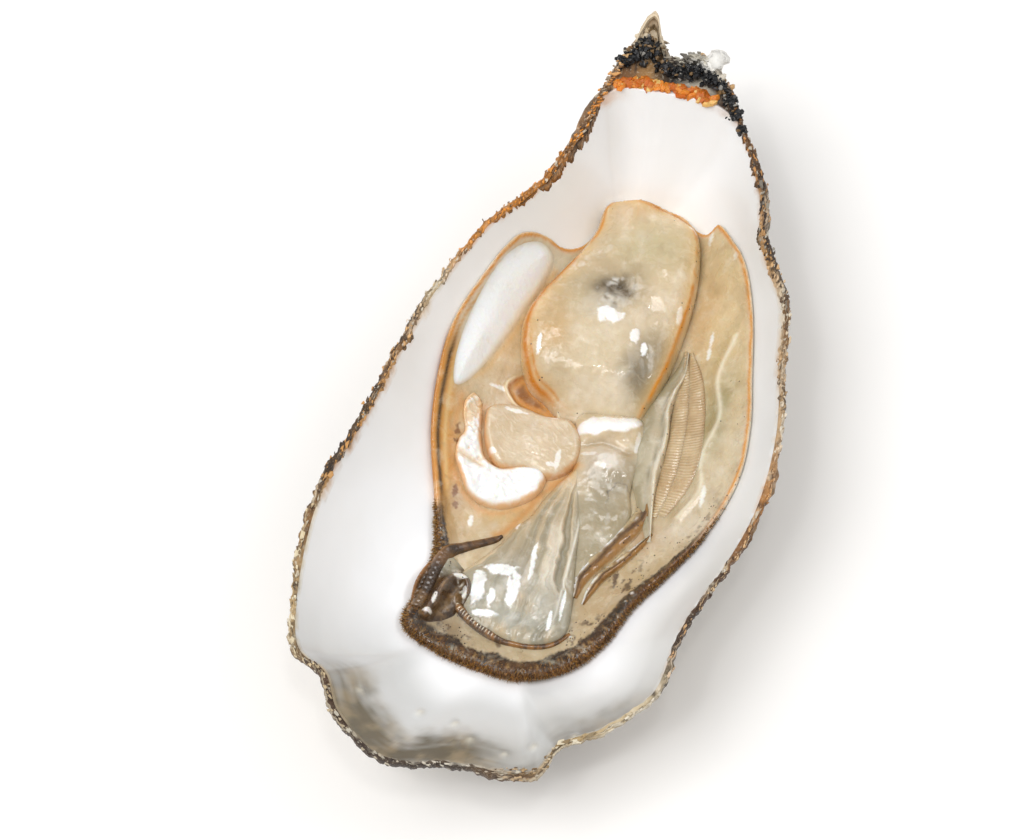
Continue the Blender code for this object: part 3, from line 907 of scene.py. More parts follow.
def fine_specks(recipe, way_in):
    """A mask of small separate grains."""
    cells = recipe.add("TexVoronoi", {"Vector": way_in["Place"], "Scale": way_in["Scale"]})
    dot = recipe.steps(cells.outputs["Distance"], way_in["Size"],
                       recipe.maths("MULTIPLY", way_in["Size"], 0.55))
    pick = recipe.add("SeparateColor", {"Color": cells.outputs["Color"]}).outputs[0]
    chosen = recipe.maths("LESS_THAN", pick, way_in["Share"])
    return {"Mask": recipe.maths("MULTIPLY", dot, chosen)}


def mineral_grain(recipe, way_in):
    """Chalky grain: crumbs of light and dark, and a rough height."""
    coarse = recipe.noise(way_in["Place"], way_in["Scale"], 6.0, 0.7)
    fine = recipe.noise(way_in["Place"], recipe.maths("MULTIPLY", way_in["Scale"], 4.0), 4.0, 0.7)
    dark = recipe.mix(recipe.maths("MULTIPLY", recipe.steps(coarse, 0.5, 0.3), way_in["Amount"]),
                      way_in["Colour"], way_in["Dark"])
    colour = recipe.mix(recipe.maths("MULTIPLY", recipe.steps(fine, 0.55, 0.72),
                                     way_in["Amount"]), dark, way_in["Light"])
    height = recipe.maths("ADD", recipe.maths("MULTIPLY", coarse, 0.6),
                          recipe.maths("MULTIPLY", fine, 0.4))
    return {"Colour": colour, "Height": height}


FLESH_MOTTLE = make_effect(
    "flesh_mottle",
    (("Place", POINT, None), ("Colour", COLOUR, None), ("Light", COLOUR, None),
     ("Dark", COLOUR, None), ("Cloud Scale", NUMBER, 250.0), ("Fine Scale", NUMBER, 900.0),
     ("Amount", NUMBER, 0.4), ("Vein", NUMBER, 0.2)),
    (("Colour", COLOUR),), flesh_mottle)
WET_FILM = make_effect(
    "wet_film",
    (("Place", POINT, None), ("Pool Scale", NUMBER, 250.0), ("Fine Scale", NUMBER, 1500.0),
     ("Dull", NUMBER, 0.45), ("Gloss", NUMBER, 0.15)),
    (("Roughness", NUMBER), ("Height", NUMBER)), wet_film)
FINE_SPECKS = make_effect(
    "fine_specks",
    (("Place", POINT, None), ("Scale", NUMBER, 2000.0), ("Size", NUMBER, 0.3),
     ("Share", NUMBER, 0.2)),
    (("Mask", NUMBER),), fine_specks)
MINERAL_GRAIN = make_effect(
    "mineral_grain",
    (("Place", POINT, None), ("Colour", COLOUR, None), ("Light", COLOUR, None),
     ("Dark", COLOUR, None), ("Scale", NUMBER, 900.0), ("Amount", NUMBER, 0.5)),
    (("Colour", COLOUR), ("Height", NUMBER)), mineral_grain)


def new_finish(name, **fixed):
    """A new material with its recipe and its shader, with what is the same all over set."""
    material = bpy.data.materials.new(name)
    material.use_nodes = True
    shader = material.node_tree.nodes["Principled BSDF"]
    for label, value in fixed.items():
        shader.inputs[label.replace("_", " ")].default_value = value
    return material, Recipe(material.node_tree), shader


def rgba(*tones):
    return (*paint(*tones), 1.0)


def shell_finish():
    """Pearly white inside, chalky and layered outside, by the painted pearl field."""
    material, recipe, shader = new_finish(
        "oyster_shell", Specular_IOR_Level=0.5, Coat_Roughness=0.12, Subsurface_Weight=0.05,
        Subsurface_Radius=(0.0012, 0.0011, 0.001), Subsurface_Scale=1.0)
    place = recipe.place()
    pearl = recipe.painted("pearl")["Fac"]
    grown = recipe.painted("growth")["Fac"]
    chalk = recipe.maths("SUBTRACT", 1.0, pearl)
    grain_parts = recipe.group(MINERAL_GRAIN, {
        "Place": place, "Colour": recipe.painted("tint")["Color"], "Light": rgba(232, 224, 204),
        "Dark": rgba(70, 54, 42), "Scale": 700.0,
        "Amount": recipe.maths("MULTIPLY", chalk, 0.55)})
    bands = recipe.add("TexWave", {"Vector": recipe.add("CombineXYZ", {0: grown}).outputs[0],
                                   "Scale": 2.2, "Distortion": 1.5, "Detail": 2.0,
                                   "Detail Scale": 1.5}, wave_type="BANDS").outputs["Fac"]
    lines = recipe.maths("MULTIPLY", recipe.steps(bands, 0.2, 0.8), recipe.maths(
        "MULTIPLY", chalk, 0.35))
    recipe.give(shader.inputs["Base Color"],
                recipe.mix(lines, grain_parts["Colour"], rgba(96, 78, 60)))
    roughness = recipe.steps(pearl, 0.0, 1.0, 0.75, 0.24)
    recipe.give(shader.inputs["Roughness"], roughness)
    soft = recipe.noise(place, 120.0, 2.0, 0.5)
    height = recipe.maths("ADD", recipe.maths("MULTIPLY", grain_parts["Height"], chalk),
                          recipe.maths("MULTIPLY", soft, 0.5))
    height = recipe.maths("ADD", height, recipe.maths("MULTIPLY", lines, 0.8))
    recipe.bump(shader, height, 0.5, 0.0004)
    recipe.give(shader.inputs["Coat Weight"], recipe.maths("MULTIPLY", pearl, 0.35))
    return material


def flake_finish():
    """Brittle crust flakes: matt, with a little grain."""
    material, recipe, shader = new_finish("crust_flake", Roughness=0.6)
    parts = recipe.group(MINERAL_GRAIN, {
        "Place": recipe.place(), "Colour": recipe.painted("tint")["Color"],
        "Light": rgba(230, 214, 184), "Dark": rgba(52, 40, 32), "Scale": 1100.0, "Amount": 0.5})
    recipe.give(shader.inputs["Base Color"], parts["Colour"])
    recipe.bump(shader, parts["Height"], 0.6, 0.0003)
    return material


def flesh_finish(name, light, dark, mottle, dull, bump):
    """A wet, slightly see-through flesh finish over the painted tint."""
    material, recipe, shader = new_finish(
        name, Coat_Roughness=0.04, Subsurface_Weight=0.35,
        Subsurface_Radius=(0.0016, 0.0010, 0.0006), Subsurface_Scale=1.0)
    place = recipe.place()
    mottled = recipe.group(FLESH_MOTTLE, {
        "Place": place, "Colour": recipe.painted("tint")["Color"], "Light": rgba(*light),
        "Dark": rgba(*dark), "Cloud Scale": 420.0, "Fine Scale": 1500.0, "Amount": mottle,
        "Vein": mottle * 0.5})
    specks = recipe.group(FINE_SPECKS, {
        "Place": place, "Scale": 3400.0, "Size": 0.5, "Share": recipe.maths(
            "MULTIPLY", recipe.painted("specks")["Fac"], 0.6)})
    recipe.give(shader.inputs["Base Color"],
                recipe.mix(specks["Mask"], mottled["Colour"], rgba(58, 38, 22)))
    gloss = recipe.painted("gloss")["Fac"]
    film = recipe.group(WET_FILM, {
        "Place": place, "Pool Scale": 330.0, "Fine Scale": 1700.0, "Dull": 0.32 + dull,
        "Gloss": 0.16})
    recipe.give(shader.inputs["Roughness"], film["Roughness"])
    recipe.give(shader.inputs["Coat Weight"], recipe.maths("MULTIPLY", gloss, 0.9))
    recipe.bump(shader, film["Height"], bump, 0.0006)
    return material


def black_finish():
    """Torn black ligament: like charcoal, with bright broken faces."""
    material, recipe, shader = new_finish("black_ligament")
    place = recipe.place()
    parts = recipe.group(MINERAL_GRAIN, {
        "Place": place, "Colour": recipe.painted("tint")["Color"], "Light": rgba(120, 116, 112),
        "Dark": rgba(8, 8, 10), "Scale": 1500.0, "Amount": 0.35})
    recipe.give(shader.inputs["Base Color"], parts["Colour"])
    patches = recipe.noise(place, 1300.0, 2.0)
    recipe.give(shader.inputs["Roughness"], recipe.steps(patches, 0.4, 0.6, 0.22, 0.6))
    recipe.bump(shader, parts["Height"], 0.5, 0.0002)
    return material


def amber_finish():
    """The rubbery orange pad: waxy, clear at its edges and cracked."""
    material, recipe, shader = new_finish(
        "amber_resilium", Roughness=0.34, Subsurface_Weight=0.3,
        Subsurface_Radius=(0.0012, 0.0005, 0.0002), Subsurface_Scale=1.0)
    place = recipe.place()
    parts = recipe.group(MINERAL_GRAIN, {
        "Place": place, "Colour": recipe.painted("tint")["Color"], "Light": rgba(250, 190, 104),
        "Dark": rgba(150, 62, 16), "Scale": 900.0, "Amount": 0.45})
    recipe.give(shader.inputs["Base Color"], parts["Colour"])
    recipe.bump(shader, parts["Height"], 0.6, 0.0003)
    return material


# ---------------------------------------------------------------- the colours of the flesh

CREAM = paint(224, 203, 168)
WHITE_FAT = paint(250, 247, 241)
FLESH_DEPTH = np.array((0.86, 0.83, 0.78))
DARK_FOLD = paint(52, 38, 26)

# Soft washes of colour: x, y, half width, half length, turn in degrees, colour, strength
WASHES = (
    # the right side and the bottom of the mantle
    (19, 14, 4, 20, 4, (236, 212, 168), 1.0), (20.4, 2, 2.4, 8, 0, (164, 154, 110), 0.95),
    (22.5, -5, 3, 8, -14, (226, 212, 184), 0.9), (18, -13, 4, 5, -40, (226, 214, 192), 0.85),
    (16, 21, 1.6, 6, -6, (214, 180, 130), 0.6), (17.5, 28, 3, 4, 0, (224, 205, 165), 0.8),
    (23, 8, 1.2, 12, -3, (232, 214, 178), 0.6), (11, -25, 5, 8, -50, (194, 170, 132), 0.9),
    (0, -33, 10, 2.6, 5, (200, 182, 148), 0.9), (15, -19, 3, 3, 0, (204, 183, 144), 0.8),
    (-10, -32, 4, 3, 0, (140, 118, 86), 0.8),
    # the top of the body
    (5, 32, 4, 1.8, 0, (224, 188, 140), 0.8), (9, 29.5, 4, 2.6, 0, (223, 202, 160), 0.8),
    (0, 27, 2.4, 4, -20, (210, 192, 162), 0.8), (11.5, 31, 1.8, 1.6, 0, (238, 224, 196), 0.7),
    # the body
    (3, 11, 6, 8, 0, (228, 213, 184), 0.95), (-4.5, 12, 2.6, 7, -6, (216, 180, 126), 0.9),
    (7, 26, 5, 3.6, 0, (210, 198, 162), 0.9), (12, 22, 2.2, 7, 0, (218, 200, 160), 0.7),
    (9.8, 17.5, 3, 3.4, 0, (233, 217, 190), 0.85), (-2, 18.5, 2.6, 3, -30, (200, 186, 152), 0.5),
    (9.3, 8.6, 2.6, 4.6, -10, (130, 122, 104), 0.9), (11, 5.6, 1.8, 2.4, -30, (126, 112, 84), 0.85),
    (4, 4, 4, 2.4, 0, (226, 209, 178), 0.9), (-3.6, 7, 1.8, 2.6, -20, (208, 188, 152), 0.6),
    (3.0, 19.6, 4.0, 3.2, 20, (176, 162, 134), 0.85), (3.4, 19.4, 2.1, 1.9, 0, (66, 50, 24), 0.95),
    # between the body, the muscle and the left margin
    (-11, 9.5, 1.8, 5, -28, (246, 210, 156), 0.9), (-8.4, 4.5, 2.2, 2.6, -30, (222, 194, 156), 0.8),
    (-4.6, 3.0, 1.9, 1.1, 28, (188, 132, 72), 0.95), (-7.2, 6.4, 1.0, 1.8, -30, (192, 164, 118), 0.7),
    (-15.2, -3, 1.7, 6, 3, (230, 186, 128), 0.9), (-14.2, -10, 1.7, 5, -4, (214, 166, 102), 0.9),
    (-12.4, -16.4, 2.0, 4, -8, (168, 122, 60), 0.9), (-10, -16.0, 2.2, 2.6, -30, (214, 184, 136), 0.8),
    (-6, -15.4, 3.4, 2.2, 20, (214, 188, 142), 0.9), (-2.4, -13.6, 1.4, 2.6, -48, (210, 178, 134), 0.8),
    (-5.4, -17.6, 2.2, 1.8, 0, (206, 188, 160), 0.8), (-10, 12, 1.8, 12, -26, (240, 228, 206), 0.5),
    (-12.4, 17, 1.5, 6, -30, (250, 246, 238), 0.85), (-15.6, 6.4, 1.2, 5, -10, (248, 240, 224), 0.7),
    (-5.2, 23.4, 1.6, 2.4, 0, (232, 226, 206), 0.85),
    # right of the middle, with the leaf and the gills
    (6, -5, 2.4, 3, 0, (214, 204, 190), 0.85), (9.8, -6, 1.4, 4, 0, (174, 160, 136), 0.8),
    (7, -11, 2.8, 3, 0, (198, 185, 158), 0.9), (10, -14, 1.9, 3, -30, (188, 171, 136), 0.8),
    (6.5, -18.5, 2.2, 4, -10, (206, 195, 168), 0.9), (12.5, 0, 2.2, 8, 0, (194, 183, 154), 0.9),
    (15.9, -1, 2.2, 11, 0, (184, 152, 110), 0.95), (13.4, -15, 1.4, 1.8, 0, (184, 140, 92), 0.7),
    # the veil and the curl
    (0.5, -15, 1.6, 5, -12, (186, 173, 148), 0.7), (3, -20, 1.7, 6, -4, (232, 225, 210), 0.85),
    (-2.6, -23, 2.8, 3.2, -15, (228, 226, 222), 0.95), (-5.4, -25, 1.7, 3, -20, (208, 203, 192), 0.8),
    (3, -26, 1.8, 3, 0, (184, 177, 162), 0.8), (-1, -29, 6, 1.4, 0, (198, 198, 190), 0.8),
    (5.2, -27, 1.1, 3, 0, (170, 163, 144), 0.8), (-12, -25.6, 1.6, 2.4, -20, (130, 124, 108), 0.8))

# Fine coloured edges on the flesh: points, width, colour, strength
EDGE_LINES = (
    # round the muscle
    (((-10.9, 1.0), (-11.1, -1.6), (-10.6, -4.6), (-9.3, -7.0), (-6.6, -7.9), (-3.6, -7.4),
      (-1.0, -8.4), (1.2, -7.6), (2.9, -5.4)), 0.4, (214, 146, 84), 0.6),
    (((-14.0, 1.2), (-14.2, -3.4), (-14.0, -7.6), (-12.4, -11.4), (-9.2, -14.0), (-5.8, -13.9),
      (-2.8, -12.0), (-0.8, -9.8)), 0.4, (214, 150, 88), 0.55),
    # the seam that runs down to the left from the muscle
    (((3.2, -4.6), (1.6, -7.4), (-0.6, -9.6), (-2.0, -12.0), (-3.4, -14.4), (-4.8, -16.4),
      (-6.8, -18.0)), 0.45, (188, 126, 64), 0.85),
    # the left margin's dark core, where it leaves the edge
    (((-14.9, -10.6), (-14.0, -12.4), (-13.2, -15.0), (-12.8, -18.4), (-12.6, -21.6)), 0.3,
     (60, 38, 22), 0.9),
    # between the upper left lobe and the flesh below it
    (((-5.2, 22.6), (-7.0, 17.6), (-8.8, 12.4), (-11.2, 6.4), (-13.4, 2.4)), 0.3,
     (226, 184, 128), 0.5))


def flesh_colour(x, y, seed=300):
    """The colour of the flesh at a place: soft washes with ragged edges, then fine lines."""
    x_off = x + 1.3 * rough(x, y, 5, seed)
    y_off = y + 1.3 * rough(x, y, 5, seed + 9)
    colour = np.broadcast_to(CREAM, (len(x), 3))
    for cx, cy, wide, long, turn, tone, strength in WASHES:
        angle = math.radians(turn)
        dx, dy = x_off - cx, y_off - cy
        u = (dx * math.cos(angle) + dy * math.sin(angle)) / wide
        v = (-dx * math.sin(angle) + dy * math.cos(angle)) / long
        near = np.exp(-(u * u + v * v) ** 1.3 * 0.75)
        colour = blend(colour, paint(*tone), strength * near)
    cloudy = rough(x, y, 2.6, seed + 20)
    colour = blend(colour, WHITE_FAT, 0.16 * smooth(0.1, 0.5, cloudy))
    return blend(colour, paint(168, 146, 108), 0.25 * smooth(0.1, 0.5, -cloudy)) * FLESH_DEPTH


def mantle_colour(x, y):
    """The colour of the mantle's skin away from its edge."""
    return lined(flesh_colour(x, y), x, y)


def lined(colour, x, y):
    """The fine coloured edges laid over a colour."""
    for line, (_, width, tone, strength) in zip(EDGE_PATHS, EDGE_LINES):
        distance, share, _ = line.measure(x, y)
        wavy = width * (1 + 0.5 * rough(x, y, 0.9, 330))
        ends = smooth(0.0, 0.06, share) * smooth(1.0, 0.94, share)
        core = np.exp(-(distance / wavy) ** 2) * ends
        halo = np.exp(-(distance / (wavy * 2.8)) ** 2) * ends
        colour = blend(colour, paint(*tone), strength * core)
        colour = blend(colour, paint(226, 176, 100), 0.35 * strength * halo)
    return colour


EDGE_PATHS = [Path(points) for points, *_ in EDGE_LINES]


# ---------------------------------------------------------------- the mantle

MANTLE_OUTLINE = (
    (0.2, 34.3), (5.0, 35.2), (10.0, 34.2), (12.8, 32.0), (14.2, 31.2), (16.0, 31.6),
    (19.6, 25.5), (22.4, 18.0), (24.0, 8.0), (25.0, 0.0), (24.6, -8.0), (21.5, -15.5),
    (17.5, -21.0), (14.0, -25.5), (11.5, -30.5), (7.5, -34.5), (1.5, -37.0), (-6.5, -36.2),
    (-13.0, -34.3), (-15.4, -32.0), (-14.2, -27.0), (-13.4, -21.5), (-14.8, -15.0),
    (-17.0, -6.5), (-17.6, 2.0), (-16.8, 9.0), (-14.0, 16.5), (-11.5, 21.4), (-9.4, 23.7),
    (-7.2, 24.9), (-5.0, 25.3), (-2.8, 27.0), (-1.2, 30.0))
MANTLE_GIRTH = 190.0
# Round the mantle's edge from the top, clockwise: share, fringe width, how dark it is
FRINGE = ((0.00, 0.35, 0.0), (0.06, 0.4, 0.0), (0.12, 0.45, 0.0), (0.22, 0.5, 0.05),
          (0.30, 0.6, 0.15), (0.36, 0.9, 0.45), (0.40, 1.5, 0.85), (0.46, 2.5, 1.0),
          (0.55, 2.6, 0.85), (0.60, 2.7, 0.95), (0.66, 2.4, 1.0), (0.685, 1.4, 0.8),
          (0.705, 0.9, 0.25), (0.76, 0.7, 0.05), (0.84, 0.6, 0.0), (0.92, 0.5, 0.0),
          (0.96, 0.4, 0.0), (1.00, 0.35, 0.0))
MANTLE_EDGE = Path(MANTLE_OUTLINE, closed=True, spacing=0.24)
RIGHT_FLAP = Path(((20.8, 15.0), (19.4, 9.0), (20.6, 3.0), (19.2, -3.0), (19.8, -8.0),
                   (17.6, -12.0)))


def fringe_at(share):
    """Width and darkness of the mantle's fringe at a share of the way round."""
    stops, width, dark = np.array(FRINGE).T
    return np.interp(share, stops, width), np.interp(share, stops, dark)


POCKET = Path(((-8.5, 4.2), (-7.4, 2.3), (-5.9, 1.5), (-3.8, 1.1), (-1.2, 0.9), (-2.6, 3.4),
               (-4.9, 4.8), (-6.6, 6.4)), closed=True)
BEADS_OF_WATER = ((13.9, -23.8, 0.75), (13.1, -25.0, 0.4), (6.9, -30.2, 0.5), (-15.0, -30.4, 0.6))


def mantle_thickness(x, y, d, share):
    """A thin skin with a raised edge, low folds and a flap along the gills."""
    width, dark = fringe_at(share)
    frill = np.sin(share * MANTLE_GIRTH * 2 * math.pi / 0.7 + 3 * rough(x, y, 2.5, 400))
    roll = np.sqrt(np.clip(1 - (1 - np.clip(d / (0.55 * width + 0.25), 0, 1)) ** 2, 0, 1))
    bank = np.exp(-((d - 0.6 * width) / (0.75 * width + 0.3)) ** 2)
    thickness = 0.25 + 0.95 * roll + (0.2 + 0.75 * dark) * bank
    thickness = thickness + 0.05 * dark * frill * smooth(width * 1.5, width * 0.4, d)
    inner = smooth(0.5, 5.0, d)
    thickness = thickness + inner * (0.35 * rough(x, y, 9, 410) + 0.16 * rough(x, y, 3, 420))
    thickness = thickness + 0.7 * np.exp(-(RIGHT_FLAP.measure(x, y)[0] / 0.8) ** 2) * inner
    return np.maximum(thickness, 0.35 * roll + 0.25)


# How deep one soft part lies in another
SINK = 0.1


def bed(x, y):
    """How thick the mantle is under another soft part."""
    d, share, _ = MANTLE_EDGE.measure(x, y)
    return mantle_thickness(x, y, d, share)


def swelling(d, width, power=2.0):
    """A rounded rise from 0 at an edge to 1 at a width away from it."""
    return np.sqrt(np.clip(1 - (1 - np.clip(d / width, 0, 1)) ** power, 0, 1))


def tapered(share, blunt=0.08, power=0.5):
    """Fullness along a strip: 1 in the middle and nearly 0 at its ends."""
    return np.sin(math.pi * np.clip(blunt + (1 - 2 * blunt) * share, 0, 1)) ** power


def glints(x, y, spots, seed):
    """Ragged patches, how strongly at each place: painted highlights on the wet film, and in the mantle its
    rust spots too.
    """
    total = np.zeros(len(x))
    wavy = 0.9 * rough(x, y, 1.3, seed, 4)
    for cx, cy, wide, long in spots:
        far = ((x - cx) / (1.25 * wide)) ** 2 + ((y - cy) / (1.25 * long)) ** 2
        total = np.maximum(total, smooth(1.1, 0.75, far + 1.4 * np.abs(wavy)))
    return total


def mantle_relief(x, y, d, share):
    """The mantle's skin: tan and cream, with an orange margin and a brown fringe below."""
    width, dark = fringe_at(share)
    colour = mantle_colour(x, y)
    flap, _, side = RIGHT_FLAP.measure(x, y)
    # Painted highlights on the mantle's wet skin at listed spots, with more gloss there too
    painted_sheen = glints(x, y, ((13.4, 32.2, 0.3, 1.0), (14.8, 30.2, 0.25, 1.2), (17.6, 14.0, 0.25, 2.0),
                          (18.8, 26.0, 0.3, 1.2), (-9.8, 3.4, 1.2, 0.3), (-7.2, 20.6, 0.25, 1.4),
                          (-9.6, -16.2, 0.3, 0.8), (20.4, -9.0, 0.3, 1.6), (12.0, 30.2, 0.8, 0.4)), 446)
    along = share * MANTLE_GIRTH
    comb = rough(along * 3.2, d * 0.5, 1.0, 430, 3)
    patches = rough(x, y, 2.2, 432, 3)
    brown = blend(paint(80, 48, 14), paint(38, 22, 6), smooth(-0.2, 0.4, patches))
    ragged = 0.22 * width * rough(x, y, 1.4, 450) + 0.1 * width * comb
    band = smooth(width * 1.1, width * 0.95, d + ragged) * smooth(0.2, 0.5, dark)
    brown = layered(
        brown, (paint(164, 126, 72), 0.7 * smooth(0.1, 0.45, comb) * smooth(0.2, 0.5, d / width)
         * smooth(0.85, 0.6, d / width)),
        (paint(140, 86, 32), 0.8 * smooth(0.8, 0.1, d)),
        (DARK_FOLD, 0.85 * np.exp(-((d - 0.92 * width) / 0.3) ** 2)),
        (DARK_FOLD, 0.5 * smooth(0.15, 0.5, rough(along * 5, d, 1.0, 435, 2))))
    light = smooth(0.5, 0.2, dark)
    wander = 0.14 * rough(x, y, 2.2, 452)
    line = np.exp(-((d - 0.42 - wander) / 0.22) ** 2)
    twin = np.exp(-((d - 1.0 + wander) / 0.15) ** 2) * smooth(-7, -10, x)
    left = smooth(-12.5, -14.2, x) * smooth(9, 4, y) * smooth(-17.5, -12, y)
    golden = smooth(3.0, 1.9, d + 0.5 * rough(x, y, 1.8, 454))
    rust = glints(x, y, ((-13.7, -4.6, 0.4, 0.9), (-13.2, -6.2, 0.7, 0.4), (-12.4, -12.6, 0.3, 0.9),
                         (-12.0, -14.6, 0.4, 0.5)), 456)
    strewn = dark * np.exp(-((d - 1.35 * width) / 1.5) ** 2) + np.exp(
        -((x - 11.6) ** 2 + (y + 20.4) ** 2) / 9)
    strewn = strewn * smooth(-0.25, 0.25, rough(x, y, 3, 460))
    spots = smooth(0.3, 0.42, rough(x * 1.2, y * 0.8, 0.6, 470, 2)) * np.minimum(strewn * 1.6, 1)
    thickness = mantle_thickness(x, y, d, share)
    deep = within(POCKET, x, y)
    hollow = smooth(-0.1, 0.5, deep)
    lip = np.exp(-((deep + 0.25) / 0.25) ** 2) * smooth(6.5, 4.5, y)
    thickness = thickness - 0.45 * hollow + 0.55 * lip
    colour = layered(
        colour, (paint(246, 238, 216), 0.6 * np.exp(-(flap / 0.3) ** 2)),
        (paint(180, 166, 126), 0.35 * np.exp(-((flap - 1.3) / 1.0) ** 2) * (side > 0)),
        # painted highlights of the wet skin
        (paint(250, 247, 240), 0.8 * painted_sheen),
        (brown, band),
        (paint(247, 240, 224), 0.45 * light * smooth(1.0, 0.3, d)),
        (paint(206, 134, 24), light * line),
        (paint(206, 142, 50), 0.75 * light * twin),
        (paint(214, 150, 66), 0.9 * left * golden),
        (paint(236, 204, 146), 0.7 * left * np.exp(-((d - 1.9) / 0.3) ** 2)),
        (paint(176, 112, 34), 0.85 * left * smooth(0.6, 0.1, d)),
        (paint(44, 26, 12), left * np.exp(-((d - 1.05 - wander) / 0.24) ** 2)),
        (paint(122, 70, 28), 0.8 * rust),
        (paint(80, 56, 34), 0.85 * spots * (1 - band)),
        (paint(214, 148, 70), 0.95 * hollow),
        # darker towards the middle of the pocket: painted shade in the hollow
        (paint(134, 82, 32), 0.85 * smooth(0.7, 1.5, deep + 0.4 * rough(x, y, 1.5, 474))),
        (paint(238, 218, 182), 0.8 * lip),
        (paint(188, 110, 36), 0.8 * np.exp(-((deep - 0.1) / 0.14) ** 2)))
    # Beads of water: each a raised drop with painted shade round its edge and a painted highlight near its
    # middle
    for cx, cy, size in BEADS_OF_WATER:
        far = np.hypot(x - cx, y - cy) / size
        thickness = thickness + 0.6 * size * np.sqrt(np.clip(1 - far ** 2, 0, 1))
        colour = blend(colour, paint(60, 48, 36), 0.6 * np.exp(-((far - 0.95) / 0.15) ** 2))
        spot = np.hypot(x - cx + 0.3 * size, y - cy - 0.25 * size) / size
        colour = blend(colour, paint(236, 234, 228), 0.85 * smooth(0.4, 0.2, spot))
    specks = 0.3 * dark * np.exp(-((d - width) / 2.5) ** 2) * smooth(-0.2, 0.3, rough(x, y, 3, 460))
    gloss = 0.45 * (1 - band) + 0.5 * painted_sheen + 0.25 * band * smooth(0.3, 0.5, patches)
    gloss = gloss * (1 - 0.85 * light * line)
    return thickness, colour, gloss, specks


LOBE_OUTLINE = (
    (-11.1, 21.2), (-9.2, 23.2), (-7.2, 24.2), (-5.6, 23.2), (-6.2, 19.4), (-8.0, 15.0),
    (-9.6, 10.4), (-11.4, 6.0), (-13.2, 2.4), (-14.8, 0.6), (-15.9, 1.2), (-16.2, 4.8),
    (-15.6, 9.6), (-14.3, 14.6), (-12.7, 18.6))


def lobe_relief(x, y, d, share):
    """The smooth white lobe along the upper left margin, low and soft at its edges."""
    rise = smooth(0.0, 2.8, d)
    height = bed(x, y) - 0.06 + 1.0 * rise + 0.12 * rough(x, y, 6, 720) * rise
    across = x - (-10.6 + 0.30 * (y - 11))
    fold = np.exp(-((across - 1.2) / 0.45) ** 2) * smooth(0.2, 1.0, d)
    height = height + 0.25 * fold
    # White on the left, turning cream to the right of the fold: the cream is painted shade on the lobe's
    # right side
    colour = blend(paint(255, 254, 251), paint(244, 236, 218), smooth(-0.4, 1.8, across))
    reach = smooth(0.0, 0.9, d) * smooth(0.0, 1.7, d + 0.8 * smooth(1.0, -2.5, across))
    colour = blend(colour, paint(246, 240, 226), 0.4 * smooth(0.15, 0.5, rough(x, y, 5, 730)))
    colour = blend(mantle_colour(x, y), colour, reach)
    return height, colour, 0.5, 0


# ---------------------------------------------------------------- the body and the muscle

BODY_OUTLINE = (
    (-0.6, 32.6), (2.0, 34.4), (6.4, 34.3), (10.4, 32.9), (13.2, 30.4), (14.2, 25.6),
    (14.4, 20.8), (13.7, 14.4), (12.6, 8.5), (11.0, 4.2), (9.6, 1.4), (6.0, 0.6), (2.0, 0.6),
    (-1.0, 1.2), (-3.2, 2.9), (-5.6, 4.4), (-7.4, 7.4), (-8.3, 11.2), (-8.2, 14.2),
    (-7.0, 17.6), (-4.2, 22.8), (-2.4, 26.2), (-1.2, 29.4))
GREY_VALLEY = Path(((11.4, 5.0), (9.4, 9.0), (8.4, 13.0), (8.8, 17.0)))


# Painted highlights on the wet body: x, y, half width and half length
BODY_GLINTS = ((3.4, 15.2, 1.8, 1.3), (7.3, 13.0, 0.65, 1.0), (8.8, 11.4, 0.45, 0.8),
               (12.7, 17.4, 0.35, 1.2), (-5.4, 9.6, 0.3, 1.4), (12.4, 31.0, 0.8, 0.4))


